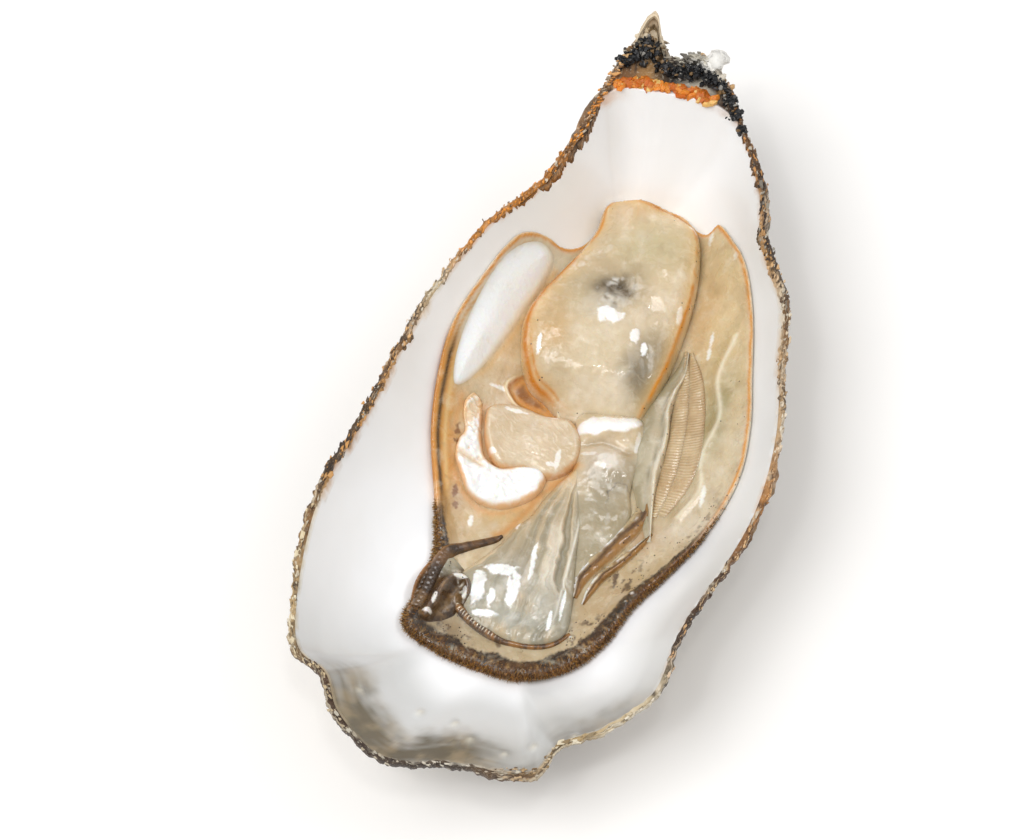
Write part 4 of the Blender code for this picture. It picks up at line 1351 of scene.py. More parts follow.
def body_relief(x, y, d, share):
    """The plump body: full towards the hinge and the left, sinking towards the muscle."""
    steep = 1 - 0.8 * smooth(8.0, 0.5, y)
    height = bed(x, y) - SINK + (5.6 + 0.9 * smooth(5, 26, y)) * swelling(d, 7.0, 2.2) * steep
    hollow = np.exp(-((x - 3.4) ** 2 + (y - 19.0) ** 2) / 10.0)
    dip = np.exp(-(GREY_VALLEY.measure(x, y)[0] / 1.6) ** 2)
    inner = smooth(0.4, 3, d)
    height = height - inner * (0.9 * hollow + 0.7 * dip)
    height = height + inner * (0.36 * rough(x, y, 5, 500) + 0.10 * rough(x, y, 1.8, 510))
    crinkle = smooth(0.0, 0.3, rough(x, y, 3.0, 520))
    crinkle = crinkle * np.exp(-((x - 0.5) ** 2 / 34 + (y - 21.0) ** 2 / 20))
    height = height + 0.35 * crinkle * rough(x, y * 0.7, 1.1, 530, 2)
    sides = smooth(1.5, 4.5, y)
    height = height + 0.22 * np.exp(-((d - 0.75) / 0.35) ** 2) * sides
    colour = lined(flesh_colour(x, y), x, y)
    milky = smooth(0.05, 0.5, rough(x, y, 6, 540))
    misty = smooth(0.0, 0.45, rough(x, y, 4.5, 543)) * smooth(24, 5, y)
    sooty = smooth(-0.1, 0.5, rough(x, y, 1.4, 545, 3)) * smooth(0.15, 0.75, hollow)
    # Painted glints on the crinkled film round the dark spot
    painted_glints = crinkle * smooth(0.12, 0.35, np.abs(rough(x, y, 1.2, 531, 3)))
    # Painted highlights on the wet film of the body, a little raised and glossier
    white = glints(x, y, BODY_GLINTS, 556)
    height = height + 0.12 * white
    left = smooth(2, -1, x) * smooth(26, 22, y)
    ragged = rough(x, y, 2.6, 555)
    line = np.exp(-((d - 0.7 - 0.15 * ragged) / (0.26 + 0.12 * left)) ** 2) * sides
    twin = np.exp(-((d - 1.5 - 0.2 * ragged) / 0.2) ** 2) * sides * left * smooth(13, 8, y)
    glow = np.exp(-((d - 0.8) / 1.2) ** 2) * sides
    tone = blend(paint(210, 136, 28), paint(194, 118, 16), left)
    fade = np.maximum(left, smooth(-0.5, 0.0, ragged))
    wet = 0.35 + 0.35 * smooth(-0.1, 0.4, rough(x, y, 4, 550)) + 0.3 * white
    wet = np.minimum(wet, 1) * (1 - 0.85 * line * fade)
    colour = layered(
        colour, (paint(240, 231, 212), 0.35 * milky * inner),
        (paint(186, 176, 150), 0.35 * misty * inner),
        (paint(84, 68, 46), 0.6 * sooty),
        (paint(240, 236, 228), 0.75 * painted_glints),
        (paint(252, 251, 249), 0.9 * white),
        (paint(226, 184, 108), 0.4 * glow),
        (tone, line * fade),
        (paint(196, 128, 34), 0.9 * twin))
    return height, colour, wet, 0.03 * smooth(2.5, 0.5, d)


ADDUCTOR_OUTLINE = (
    (-10.6, -0.5), (-9.0, 1.0), (-6.3, 1.5), (-2.8, 1.0), (0.6, 1.0), (2.4, -0.6), (3.1, -2.8),
    (2.8, -5.2), (1.2, -7.2), (-1.0, -8.2), (-3.9, -7.6), (-7.3, -8.2), (-9.3, -6.4), (-10.4, -3.6))


def adductor_relief(x, y, d, share):
    """The round muscle: a nearly flat top of fine wavy fibres and steep sides."""
    wave = y + 0.35 * x + 0.5 * np.sin(x * 0.9 + 0.6) + 1.3 * rough(x, y, 3.0, 600)
    fibres = rough(x * 0.5, wave * 2.0, 0.5, 610, 3)
    height = bed(x, y) - SINK + 1.9 * swelling(d, 1.2) + 0.3 * smooth(1.0, 5, d)
    height = height + 0.22 * rough(x, y, 3.5, 620) * smooth(0, 1, d)
    height = height + 0.06 * fibres * smooth(0.6, 2.0, d)
    colour = blend(paint(216, 196, 166), paint(206, 184, 150), smooth(-0.3, 0.5, rough(x, y, 5, 630)))
    # Painted glints on the wet fibres at listed spots, glossier there too
    painted_glints = glints(x, y, ((0.2, -5.4, 0.35, 1.3), (-6.6, 0.2, 1.6, 0.3), (-1.2, 0.6, 1.0, 0.25),
                           (-8.6, -6.2, 0.5, 0.7), (-0.6, -6.4, 0.6, 0.3)), 625)
    rim = smooth(0.75, 0.2, d + 0.25 * rough(x, y, 1.2, 626))
    colour = layered(
        colour, (paint(236, 222, 200), 0.5 * smooth(0.16, 0.5, fibres)),
        (paint(208, 184, 152), 0.35 * smooth(0.16, 0.5, -fibres)),
        (paint(250, 247, 242), 0.7 * painted_glints),
        (paint(214, 160, 100), 0.75 * rim))
    return height, colour, 0.4 + 0.6 * painted_glints, 0


CATCH_OUTLINE = (
    (-13.6, -0.4), (-12.6, 1.2), (-11.3, 0.4), (-10.9, -2.0), (-10.4, -4.6), (-9.4, -7.0),
    (-7.2, -7.9), (-4.7, -7.0), (-1.8, -6.8), (-0.8, -8.2), (-1.5, -10.5), (-3.6, -12.4),
    (-6.1, -13.5), (-8.8, -13.5), (-10.8, -12.5), (-12.0, -10.8), (-13.4, -8.2), (-13.4, -6.0),
    (-12.9, -4.2), (-13.5, -2.2))


def catch_relief(x, y, d, share):
    """The thick white catch muscle: a lumpy column and a slab with peach-coloured borders."""
    lumps = 0.5 * rough(x, y, 1.9, 700, 3) + 0.2 * rough(x * 1.6, y * 1.6, 0.9, 701, 3)
    column = smooth(-9.2, -7.4, y) * smooth(-9.0, -10.4, x)
    height = bed(x, y) - SINK + (1.7 - 0.5 * column) * swelling(d, 1.0) + lumps * smooth(0.1, 1.2, d)
    colour = blend(paint(250, 249, 246), paint(238, 230, 214), smooth(0.0, 0.5, rough(x, y, 2.2, 710)))
    between = np.exp(-((y + 7.9 + 0.25 * (x + 12)) / 0.5) ** 2) * smooth(-8.6, -10.0, x)
    between = np.maximum(between, column * smooth(0.1, 0.4, rough(x, y, 1.6, 712)))
    peach = smooth(0.7, 0.15, d + 0.4 * rough(x, y, 1.5, 715))
    colour = layered(
        colour, (paint(228, 196, 152), 0.8 * between),
        (paint(230, 180, 122), 0.9 * peach))
    return height - 0.4 * between, colour, 0.9, 0


INNER_FOLD_OUTLINE = (
    (1.6, 2.2), (5.0, 3.4), (8.6, 3.4), (11.0, 1.8), (11.4, -3.4), (10.8, -8.0), (11.4, -11.8),
    (9.6, -16.4), (7.2, -21.0), (5.6, -21.8), (4.4, -16.0), (3.4, -11.6), (2.2, -8.4),
    (2.4, -4.6), (1.8, -1.6))
CREST = Path(((3.4, 0.2), (5.4, 0.4), (7.6, 0.6), (9.3, 1.2)))


def inner_fold_relief(x, y, d, share):
    """Grey and cream folds right of the muscle: a crest with a painted highlight along it, a knoll with
    painted highlights, a groove with painted shade, and dark fine veins.
    """
    tall = 0.5 + 0.5 * smooth(-20, -6, y)
    height = bed(x, y) - SINK + 1.6 * swelling(d, 3.0) * tall
    crest = CREST.measure(x, y)[0]
    height = height + 1.1 * np.exp(-(crest / 1.6) ** 2)
    groove = np.exp(-((y + 2.4 + 0.5 * np.sin(x * 0.8)) / 0.5) ** 2) * smooth(0.5, 2, d)
    knoll = np.exp(-(((x - 6.8) / 2.8) ** 2 + ((y + 4.6) / 1.9) ** 2))
    height = height + 1.0 * knoll - 0.35 * groove
    height = height + smooth(0.3, 1.5, d) * (0.35 * rough(x, y, 3.6, 740)
                                             + 0.08 * rough(x, y, 1.4, 750, 2))
    colour = lined(flesh_colour(x, y), x, y)
    # A painted highlight along the crest
    white = smooth(1.45, 0.95, crest + 0.9 * rough(x, y, 1.8, 755, 3))
    # Painted highlights on the top of the knoll and at a few spots
    painted_shine = smooth(0.5, 0.8, knoll + 0.45 * rough(x, y, 1.5, 757, 3))
    painted_shine = np.maximum(painted_shine, glints(x, y, ((10.4, -1.2, 0.3, 1.4), (4.2, -3.8, 1.0, 0.3),
                                            (8.4, -12.6, 0.35, 0.8), (5.4, -10.2, 0.5, 0.25)), 758))
    veins = smooth(0.06, 0.0, np.abs(rough(x, y, 4.2, 760, 4)))
    where = np.exp(-(((x - 7.6) / 3.0) ** 2 + ((y + 8.2) / 2.6) ** 2))
    grey = smooth(-8.5, -11.5, y) * smooth(-23, -18, y)
    wet = 0.5 + 0.5 * np.maximum(white, painted_shine)
    colour = layered(
        # darker in the groove: painted shade
        colour, (paint(170, 146, 110), 0.5 * groove),
        (paint(250, 248, 245), 0.95 * white),
        (paint(240, 235, 226), 0.6 * painted_shine),
        (paint(142, 134, 114), 0.65 * where * (1 - painted_shine)),
        (paint(88, 78, 64), 0.8 * veins * where),
        (paint(148, 136, 108), 0.65 * grey))
    return height, colour, wet, 0


# ---------------------------------------------------------------- the veil and the gills

VEIL_OUTLINE = (
    (3.4, -5.4), (1.6, -7.2), (-0.6, -10.8), (-2.0, -13.8), (-3.6, -15.6), (-5.2, -18.6),
    (-7.6, -21.6), (-9.2, -23.6), (-8.8, -25.6), (-8.0, -28.4), (-6.0, -30.8), (-2.6, -31.8),
    (2.2, -32.0), (5.8, -30.2), (6.2, -26.0), (5.6, -20.0), (5.0, -14.0), (4.4, -9.0))
VEIL_TOP = np.array((3.2, -3.0))


# Painted highlights on the veil's wet film: x, y, half width and half length
VEIL_PAINTED_GLINTS = ((-6.6, -25.4, 0.9, 2.6), (-4.2, -22.6, 2.4, 0.8), (-2.0, -24.6, 0.8, 2.6),
              (-4.6, -26.8, 0.5, 1.6), (-4.9, -29.0, 1.6, 0.6), (-0.2, -20.6, 0.4, 2.6),
              (3.6, -28.6, 0.3, 1.4), (4.9, -26.0, 0.25, 2.0), (-3.4, -15.6, 0.5, 0.8))


def veil_relief(x, y, d, share):
    """A pleated fan that spreads from the muscle to the bill, with painted shade in the pleats' troughs,
    painted light on their crests and glossy wet patches of painted highlight.
    """
    dx, dy = x - VEIL_TOP[0], y - VEIL_TOP[1]
    reach = np.hypot(dx, dy)
    angle = np.degrees(np.arctan2(dx, -dy)) + 6 * rough(x, y, 6, 770)
    strong = smooth(-0.3, 0.45, rough(angle, reach * 0.35, 6.0, 772, 2))
    strong = strong * smooth(-31, -22, y + 4 * rough(x, y, 5, 773))
    pleats = rough(angle, reach * 0.12, 3.4, 774, 2) * 1.8
    fine = rough(angle * 2.2, reach * 0.3, 1.7, 780, 2) * 1.6
    spread = smooth(1.5, 10, reach)
    height = bed(x, y) - SINK + 1.5 * swelling(d, 1.8)
    height = height + (0.5 * pleats * (0.35 + strong) + 0.10 * fine) * spread * smooth(0.1, 1.4, d)
    bulge = np.exp(-(((x + 3.6) / 3.2) ** 2 + ((y + 24.6) / 4.2) ** 2))
    height = height + 0.7 * bulge + 0.3 * rough(x, y, 3.5, 790) * smooth(0.4, 1.6, d)
    edge = x - (5.2 + 0.05 * (y + 20))
    right_edge = np.exp(-((edge + 0.6) / 0.25) ** 2) * smooth(-31, -27, y) * smooth(-8, -12, y)
    height = height + 0.3 * right_edge
    colour = flesh_colour(x, y)
    grey = smooth(-21, -27, y) * smooth(-0.5, 0.3, rough(x, y, 3.0, 796))
    shade = smooth(-27.5, -30.2, y) * smooth(-0.3, 0.4, rough(x, y, 2.4, 798))
    # Painted highlights of the wet film, a little raised and glossier
    wet = glints(x, y, VEIL_PAINTED_GLINTS, 795)
    height = height + 0.15 * wet
    colour = layered(
        # darker in the pleats' troughs and paler on the strong pleats' crests: painted shade and painted
        # light
        colour, (paint(136, 126, 100), 0.6 * smooth(0.0, -0.8, pleats) * spread),
        (paint(228, 221, 202), 0.75 * smooth(0.15, 0.9, pleats) * spread * strong),
        (paint(176, 168, 146), 0.35 * smooth(0.1, 0.7, fine) * spread),
        (paint(240, 235, 222), 0.7 * right_edge),
        (paint(176, 176, 164), 0.5 * grey),
        (paint(120, 114, 96), 0.5 * shade),
        (paint(252, 252, 250), 0.92 * wet))
    return height, lined(colour, x, y), 0.45 + 0.55 * wet, 0


GILL_INNER_PATH = ((14.4, 13.6, 0.3), (14.9, 9.6, 0.9), (15.3, 5.0, 1.2), (15.5, 1.0, 1.35),
                   (15.5, -3.0, 1.35), (15.1, -7.0, 1.3), (14.3, -11.6, 0.7))
GILL_OUTER_PATH = ((15.2, 13.4, 0.3), (16.4, 9.4, 1.0), (17.3, 4.6, 1.3), (17.6, 0.4, 1.45),
                   (17.6, -3.4, 1.55), (17.0, -7.2, 1.45), (15.4, -11.4, 0.8))


def gill_relief(x, y, way, share, v):
    """A gill: fine pale plates side by side across a soft brown ridge."""
    bow = 0.7 * v ** 2 + 0.7 * rough(x, y, 2.5, 800)
    plates = np.cos(2 * math.pi * (way / 0.42 + bow))
    full = tapered(share, 0.06)
    height = bed(x, y) - 0.12 + 0.85 * full * (1 - v ** 2) ** 0.7
    height = height + 0.035 * plates + 0.25 * rough(x, y, 3, 805) * (1 - v ** 2)
    colour = blend(paint(188, 160, 120), paint(204, 180, 142), smooth(-0.3, 0.4, rough(x, y, 3, 810)))
    fade = smooth(-0.45, 0.3, rough(x, y, 2.2, 812))
    colour = layered(
        colour, (paint(224, 206, 174), 0.5 * fade * smooth(0.2, 1.0, plates)),
        (paint(156, 124, 84), 0.45 * fade * smooth(0.2, 1.0, -plates)),
        (paint(152, 112, 70), 0.45 * np.exp(-((v + 0.85) / 0.2) ** 2)),
        (mantle_colour(x, y), smooth(0.35, 1.0, v + 0.3 * rough(x, y, 1.5, 815))))
    return height, colour, 0.5, 0


LEAF_PATH = ((14.6, 13.4, 0.3), (14.2, 10.2, 0.9), (13.2, 7.4, 1.3), (12.3, 4.0, 1.9),
             (12.1, 0.4, 2.3), (12.1, -3.0, 2.3), (12.3, -6.0, 1.9), (12.9, -9.2, 1.2),
             (13.8, -12.8, 0.7), (14.4, -15.4, 0.35))


def leaf_relief(x, y, way, share, v):
    """The pale palp like a leaf beside the gills, with a raised, curled left edge."""
    full = tapered(share, 0.05, 0.6)
    curl = np.exp(-((v + 0.72 + 0.12 * np.sin(way * 0.6)) / 0.18) ** 2)
    height = bed(x, y) - SINK + full * (1.2 * swelling(1 - np.abs(v), 0.7) + 0.8 * curl)
    furrow = np.exp(-((v + 0.34 - 0.25 * np.sin(way * 0.35)) / 0.12) ** 2)
    height = height - 0.35 * furrow * full + 0.14 * rough(x, y * 0.4, 1.2, 820) * (1 - v ** 2)
    height = height + 0.2 * np.sin(way * 1.4 + 3 * rough(x, y, 3, 825)) * curl
    grey_green = smooth(-0.35, 0.3, v + 0.7 * rough(x, y, 3, 828))
    colour = blend(paint(188, 174, 146), paint(160, 148, 118), grey_green)
    ends = smooth(0.35, 0.1, share) * smooth(0.1, -0.4, v)
    colour = layered(
        colour, (paint(208, 198, 174), 0.6 * smooth(0.1, 0.5, rough(x, y * 0.5, 2.5, 830))),
        # paler on the raised curl and darker in the furrow: painted light and painted shade
        (paint(228, 220, 200), 0.7 * curl),
        (paint(116, 102, 70), 0.5 * furrow),
        (paint(150, 138, 104), 0.6 * ends * smooth(-0.1, 0.4, rough(x, y, 1.2, 832))),
        (paint(222, 204, 168), 0.5 * smooth(0.75, 1.0, np.abs(v))))
    return height, colour, 0.5 + 0.4 * curl, 0.1 * smooth(-0.6, -1.0, v)


# ---------------------------------------------------------------- brown folds and fringes

RIDGE_UPPER_PATH = ((11.0, -6.0, 0.5), (12.3, -8.3, 0.9), (12.9, -10.7, 1.1), (12.0, -13.2, 1.4),
                    (9.9, -16.1, 1.6), (7.9, -18.8, 1.5), (6.5, -21.5, 1.1), (6.1, -24.2, 0.5))
RIDGE_LOWER_PATH = ((14.6, -14.2, 0.3), (13.3, -16.2, 0.6), (11.3, -18.5, 0.8), (9.1, -20.9, 0.8),
                    (8.0, -23.2, 0.6), (7.4, -25.0, 0.3))


def ridge_relief(x, y, way, share, v):
    """A soft brown ridge: orange along one side, dark in the middle, glossy on the other with painted
    highlights.
    """
    full = tapered(share)
    uneven = rough(x, y, 1.7, 839, 3)
    height = bed(x, y) - SINK + 0.75 * full * (1 - v ** 2) ** 0.7
    height = height + 0.35 * full * np.exp(-((v + 0.35 + 0.3 * uneven) / 0.3) ** 2)
    height = height + 0.25 * uneven * (1 - v ** 2)
    shift = v + 0.5 * rough(x, y, 2.2, 840, 3)
    colour = blend(paint(156, 114, 58), paint(204, 182, 142), smooth(-0.1, 0.5, shift))
    # Painted highlights on the glossy side
    painted_shine = smooth(0.2, 0.4, shift) * smooth(0.95, 0.6, shift) * smooth(-0.2, 0.0, rough(x, y, 1.6, 842, 3))
    colour = layered(
        colour, (paint(66, 40, 18), 0.9 * np.exp(-((shift + 0.05) / 0.25) ** 2)),
        (paint(108, 74, 34), 0.5 * smooth(0.1, 0.45, rough(x, y, 0.8, 841, 2))),
        (paint(252, 250, 246), 0.95 * painted_shine),
        (mantle_colour(x, y), smooth(0.75, 1.0, np.abs(v))))
    return height, colour, 0.5 + 0.5 * painted_shine, 0.1


FOLD_LEFT_PATH = ((-5.0, -17.2, 0.25), (-5.8, -17.9, 0.5), (-7.6, -18.9, 0.6), (-9.6, -20.0, 0.7),
                  (-11.4, -21.4, 0.9), (-12.8, -24.0, 1.1), (-13.6, -27.0, 1.3), (-14.0, -30.0, 0.9))


def dark_relief(x, y, way, share, v):
    """A low dark brown wet fold, with a paler line along one edge that is a painted highlight."""
    full = tapered(share)
    height = bed(x, y) - SINK + 0.7 * full * swelling(1 - np.abs(v), 0.9)
    height = height + 0.14 * rough(x, y, 2.0, 850) * (1 - v ** 2)
    colour = blend(paint(60, 40, 20), paint(108, 76, 42), smooth(0.0, 0.5, rough(x, y, 2.2, 860)))
    lighter = smooth(0.4, 0.6, share) * smooth(-0.2, 0.3, rough(x, y, 2.2, 861))
    colour = layered(
        colour, (paint(128, 98, 60), 0.6 * lighter),
        # paler line along one edge: painted highlight
        (paint(164, 116, 62), 0.6 * np.exp(-((v - 0.85) / 0.2) ** 2)))
    return height, colour, 0.5, 0


VEIL_HEM_PATH = ((-9.0, -27.6, 0.3), (-8.4, -28.6, 0.7), (-7.0, -29.6, 0.8), (-5.2, -30.7, 0.75),
                 (-3.0, -31.7, 0.6), (-0.2, -32.0, 0.5), (2.4, -31.9, 0.5), (4.6, -31.2, 0.5),
                 (6.6, -29.6, 0.3))


def veil_hem_relief(x, y, way, share, v):
    """The veil's brown hem: glossy beads with painted highlights on their tops at its left half, plain and
    thin at its right.
    """
    full = tapered(share, 0.06)
    beads = np.cos(2 * math.pi * (way / 0.5 + 0.5 * rough(x, y, 1.5, 866)))
    left = smooth(0.5, 0.35, share)
    crest = np.exp(-((v - 0.1) / 0.4) ** 2)
    height = bed(x, y) - SINK + (0.7 + 0.6 * left) * full * swelling(1 - np.abs(v), 0.9)
    height = height + 0.08 * left * beads * crest
    colour = blend(paint(78, 52, 26), paint(142, 98, 46), smooth(-0.2, 0.4, rough(x * 2, y, 1, 870)))
    colour = layered(
        # pale tops of the beads on the left half: painted highlights
        colour, (paint(236, 222, 196), 0.8 * left * smooth(0.2, 0.9, beads) * crest),
        (DARK_FOLD, 0.6 * smooth(0.5, 0.95, np.abs(v)) * left))
    return height, colour, 0.5 + 0.5 * left, 0


CURL_OUTLINE = (
    (-12.0, -21.8), (-10.6, -21.6), (-8.8, -22.8), (-7.2, -24.2), (-6.6, -26.2), (-7.0, -27.8),
    (-8.2, -28.6), (-8.8, -30.0), (-10.6, -31.4), (-12.6, -31.9), (-13.8, -30.8), (-13.2, -28.4),
    (-12.6, -25.6))


CURL_HOOK = Path(((-12.4, -30.8), (-11.6, -28.6), (-10.9, -26.2), (-9.8, -24.7), (-8.4, -24.8),
                  (-7.8, -26.2), (-8.2, -27.4)))


def curl_relief(x, y, d, share):
    """The dark glossy curl of the mantle's edge at the lower left, hooked over itself, with painted
    highlights and a painted reflection along its crest.
    """
    away, along, _ = CURL_HOOK.measure(x, y)
    hook = np.exp(-(away / 0.7) ** 2)
    height = bed(x, y) - SINK + 0.45 * smooth(0.0, 1.2, d) + 1.5 * hook * smooth(0.0, 0.5, d)
    height = height + 0.25 * rough(x, y, 1.8, 880, 3) * smooth(0, 1, d)
    colour = blend(paint(62, 42, 22), paint(132, 104, 66), smooth(-0.1, 0.5, rough(x, y, 1.6, 890)))
    cone = smooth(-25.6, -23.6, y) * smooth(-8.6, -10.4, x)
    # A row of pale dots along the hook's side: painted highlights
    beads = smooth(0.1, 0.9, np.cos(along * 40)) * np.exp(-((away - 0.8) / 0.25) ** 2)
    # Painted highlights at a few spots
    painted_shine = glints(x, y, ((-9.2, -24.6, 1.0, 0.35), (-8.2, -26.8, 0.3, 1.0), (-11.8, -28.6, 0.3, 0.8),
                          (-12.4, -30.6, 0.6, 0.3)), 892)
    rim = smooth(0.5, 0.0, d) * smooth(-24, -26, y)
    colour = layered(
        colour, (paint(84, 58, 30), 0.85 * hook),
        # paler line along the hook's crest: painted reflection
        (paint(168, 134, 88), 0.6 * np.exp(-(away / 0.22) ** 2) * smooth(-0.2, 0.3, rough(x, y,
         1.2, 891))),
        (paint(160, 152, 130), 0.9 * cone),
        (paint(206, 196, 170), 0.6 * smooth(-23.6, -22.0, y)),
        (paint(244, 236, 218), 0.8 * beads * smooth(0.5, 0.65, along)),
        (paint(246, 243, 236), 0.85 * painted_shine),
        (paint(70, 48, 28), rim))
    return height, colour, 0.5 + 0.5 * np.maximum(painted_shine, hook), 0.1


def make_fringe_hairs(count=15000, seed=33):
    """Short fine feelers along the mantle's brown edge."""
    draw = np.random.default_rng(seed)
    border = smooth_line(MANTLE_OUTLINE, 0.1, closed=True)
    ahead = unit(np.roll(border, -1, axis=0) - np.roll(border, 1, axis=0))
    outward = np.c_[-ahead[:, 1], ahead[:, 0]]
    spots = draw.integers(len(border), size=count)
    width, dark = fringe_at(spots / len(border))
    kept = draw.random(count) < smooth(0.25, 0.7, dark)
    spots, width, dark = spots[kept], width[kept], dark[kept]
    inward = draw.beta(0.7, 2.2, len(spots)) * width * 1.05
    roots = border[spots] - outward[spots] * inward[:, None]
    ground = BOWL.height(roots) + mantle_thickness(*roots.T, np.maximum(inward, 0),
                                                   spots / len(border))
    heap = Heap()
    for k, root, level, gloom in zip(spots, roots, ground, dark):
        length = draw.uniform(0.28, 0.75) * (0.4 + 0.6 * gloom)
        swing = draw.normal(0, 0.45)
        way = outward[k] * math.cos(swing) + ahead[k] * math.sin(swing)
        thick = draw.uniform(0.025, 0.055)
        side = np.array((-way[1], way[0])) * thick
        tip = root + way * length
        droop = level - 0.15 - draw.uniform(-0.4, 0.3) * length
        points = np.array([(*(root - side), level - 0.2), (*(root + side), level - 0.2),
                           (*(root + side), level + thick), (*(root - side), level + thick),
                           (*tip, droop)])
        tone = draw.random()
        colour = (paint(76, 48, 22) if tone < 0.35 * gloom + 0.05 else
                  paint(124, 78, 30) if tone < 0.75 else paint(176, 118, 52))
        heap.add(points, [(3, 2, 1, 0), (0, 1, 4), (1, 2, 4), (2, 3, 4), (3, 0, 4)], colour)
    return heap.finish("fringe_hairs")


def make_soft_parts():
    """Every soft piece with its finish, its slot and the solid it stands for."""
    plump = flesh_finish("body_flesh", (242, 230, 208), (186, 164, 128), 0.35, 0.06, 0.35)
    skin = flesh_finish("mantle_skin", (236, 224, 196), (172, 148, 106), 0.35, 0.10, 0.40)
    fibres = flesh_finish("muscle_fibres", (248, 240, 228), (210, 180, 148), 0.25, 0.08, 0.42)
    white = flesh_finish("white_muscle", (254, 252, 248), (232, 216, 192), 0.2, 0.02, 0.30)
    film = flesh_finish("veil_film", (242, 238, 226), (156, 146, 120), 0.3, 0.06, 0.25)
    comb = flesh_finish("gill_comb", (218, 198, 164), (142, 112, 74), 0.3, 0.12, 0.40)
    brown = flesh_finish("brown_fringe", (170, 124, 76), (50, 34, 22), 0.35, 0.06, 0.35)
    for name, outline, spacing, relief, finish, slot, node in (
            ("mantle", MANTLE_OUTLINE, 0.24, mantle_relief, skin, "mantle", "mantle_skirt"),
            ("lobe", LOBE_OUTLINE, 0.2, lobe_relief, white, "white_muscle",
             "mantle_lobe_left"),
            ("body", BODY_OUTLINE, 0.2, body_relief, plump, "body_flesh", "body_mound"),
            ("muscle", ADDUCTOR_OUTLINE, 0.12, adductor_relief, fibres, "muscle",
             "adductor_muscle"),
            ("catch", CATCH_OUTLINE, 0.12, catch_relief, white, "white_muscle", "catch_muscle"),
            ("fold", INNER_FOLD_OUTLINE, 0.15, inner_fold_relief, film, "veil", "inner_fold"),
            ("veil", VEIL_OUTLINE, 0.14, veil_relief, film, "veil", "mantle_veil"),
            ("curl", CURL_OUTLINE, 0.14, curl_relief, brown, "fringe", "mantle_curl")):
        place_piece(soft_piece(name, outline, spacing, relief), finish, slot, node)
    for name, path, relief, finish, slot, node in (
            ("gill_inner", GILL_INNER_PATH, gill_relief, comb, "gill", "gill_strip_inner"),
            ("gill_outer", GILL_OUTER_PATH, gill_relief, comb, "gill", "gill_strip_outer"),
            ("leaf", LEAF_PATH, leaf_relief, film, "gill", "gill_leaf"),
            ("ridge_upper", RIDGE_UPPER_PATH, ridge_relief, brown, "fringe",
             "mantle_ridge_upper"),
            ("ridge_lower", RIDGE_LOWER_PATH, ridge_relief, brown, "fringe",
             "mantle_ridge_lower"),
            ("dark_fold", FOLD_LEFT_PATH, dark_relief, brown, "fringe", "mantle_fold_left")):
        place_piece(strip_piece(name, path, relief), finish, slot, node)
    place_piece(strip_piece("veil_hem", VEIL_HEM_PATH, veil_hem_relief), brown, "fringe")
    place_piece(make_fringe_hairs(), brown, "fringe")


# ---------------------------------------------------------------- the hinge

def lump(middle, radii, draw, roughness=0.3, detail=1):
    """An irregular lump: an icosphere with uneven corners. Returns points and faces."""
    body = bmesh.new()
    bmesh.ops.create_icosphere(body, subdivisions=detail, radius=1.0)
    body.verts.ensure_lookup_table()
    spin = Matrix.Rotation(draw.uniform(0, 6.28), 3, "Z") @ Matrix.Rotation(
        draw.uniform(0, 3.14), 3, "X")
    points = []
    for vert in body.verts:
        spread = 1 + roughness * draw.normal(0, 0.5)
        corner = Vector((vert.co.x * radii[0], vert.co.y * radii[1], vert.co.z * radii[2]))
        points.append((spin @ (corner * spread)) + Vector(middle))
    faces = [tuple(vert.index for vert in face.verts) for face in body.faces]
    body.free()
    return np.array(points), faces


LIGAMENT_SPOTS = ((-1.2, 47.4, 0.9), (0.4, 48.6, 1.6), (2.6, 49.2, 1.7), (4.6, 47.4, 1.1),
                  (6.6, 47.2, 1.2), (8.6, 47.6, 1.3), (11.0, 47.0, 1.3), (12.6, 46.0, 1.1),
                  (14.2, 44.2, 1.0), (15.2, 42.4, 0.8), (16.4, 40.4, 0.6), (1.4, 51.0, 0.9))
RESILIUM_PATH = ((-1.4, 44.2), (1.4, 44.8), (4.6, 44.9), (8.2, 44.9), (11.6, 44.3))


def plate_height(spot):
    """Height of the hinge plate at a spot."""
    place = round_the_spine(spot[None])[0]
    return float(BOWL.around(place, BOWL.edge_height)[0])


def make_ligament(count=900, seed=51):
    """Black brittle crumbs of the torn ligament, heaped on the hinge plate."""
    draw = np.random.default_rng(seed)
    heap = Heap()
    for _ in range(count):
        x, y, spread = LIGAMENT_SPOTS[int(draw.integers(len(LIGAMENT_SPOTS)))]
        spot = np.array((x, y)) + draw.normal(0, 0.45 * spread, 2)
        size = draw.uniform(0.14, 0.42)
        middle = (*spot, plate_height(spot) + 0.1 + draw.uniform(0, 1.5) * min(1, spread / 1.4))
        points, faces = lump(middle, size * draw.uniform(0.5, 1.3, 3), draw, 0.45)
        tone = draw.random()
        colour = (paint(20, 21, 24) if tone < 0.7 else paint(64, 62, 62) if tone < 0.86
                  else paint(150, 146, 138) if tone < 0.92 else paint(126, 98, 62))
        heap.add(points, faces, colour)
    return heap.finish("ligament_crumbs", flat=True)


def make_resilium(seed=52):
    """The cracked orange pad along the front of the hinge plate."""
    draw = np.random.default_rng(seed)
    heap = Heap()
    line = smooth_line(RESILIUM_PATH, 30, closed=False)
    for spot in line:
        deep = 0.5 + 0.5 * rough(np.array([spot[0]]), np.array([0.0]), 2.6, 54, 2)[0]
        for _ in range(3):
            here = spot + draw.normal(0, (0.2, 0.22)) - (0, draw.uniform(-0.4, 1.3) * deep)
            size = draw.uniform(0.45, 0.85)
            middle = (*here, plate_height(here) + draw.uniform(-0.15, 0.25))
            points, faces = lump(middle, size * np.array((1.2, 0.9, 0.6)), draw, 0.35, 1)
            tone = draw.random()
            colour = (paint(240, 138, 44) if tone < 0.5 else paint(206, 104, 26) if tone < 0.8
                      else paint(250, 190, 110))
            heap.add(points, faces, colour)
    return heap.finish("resilium_pad", flat=True)


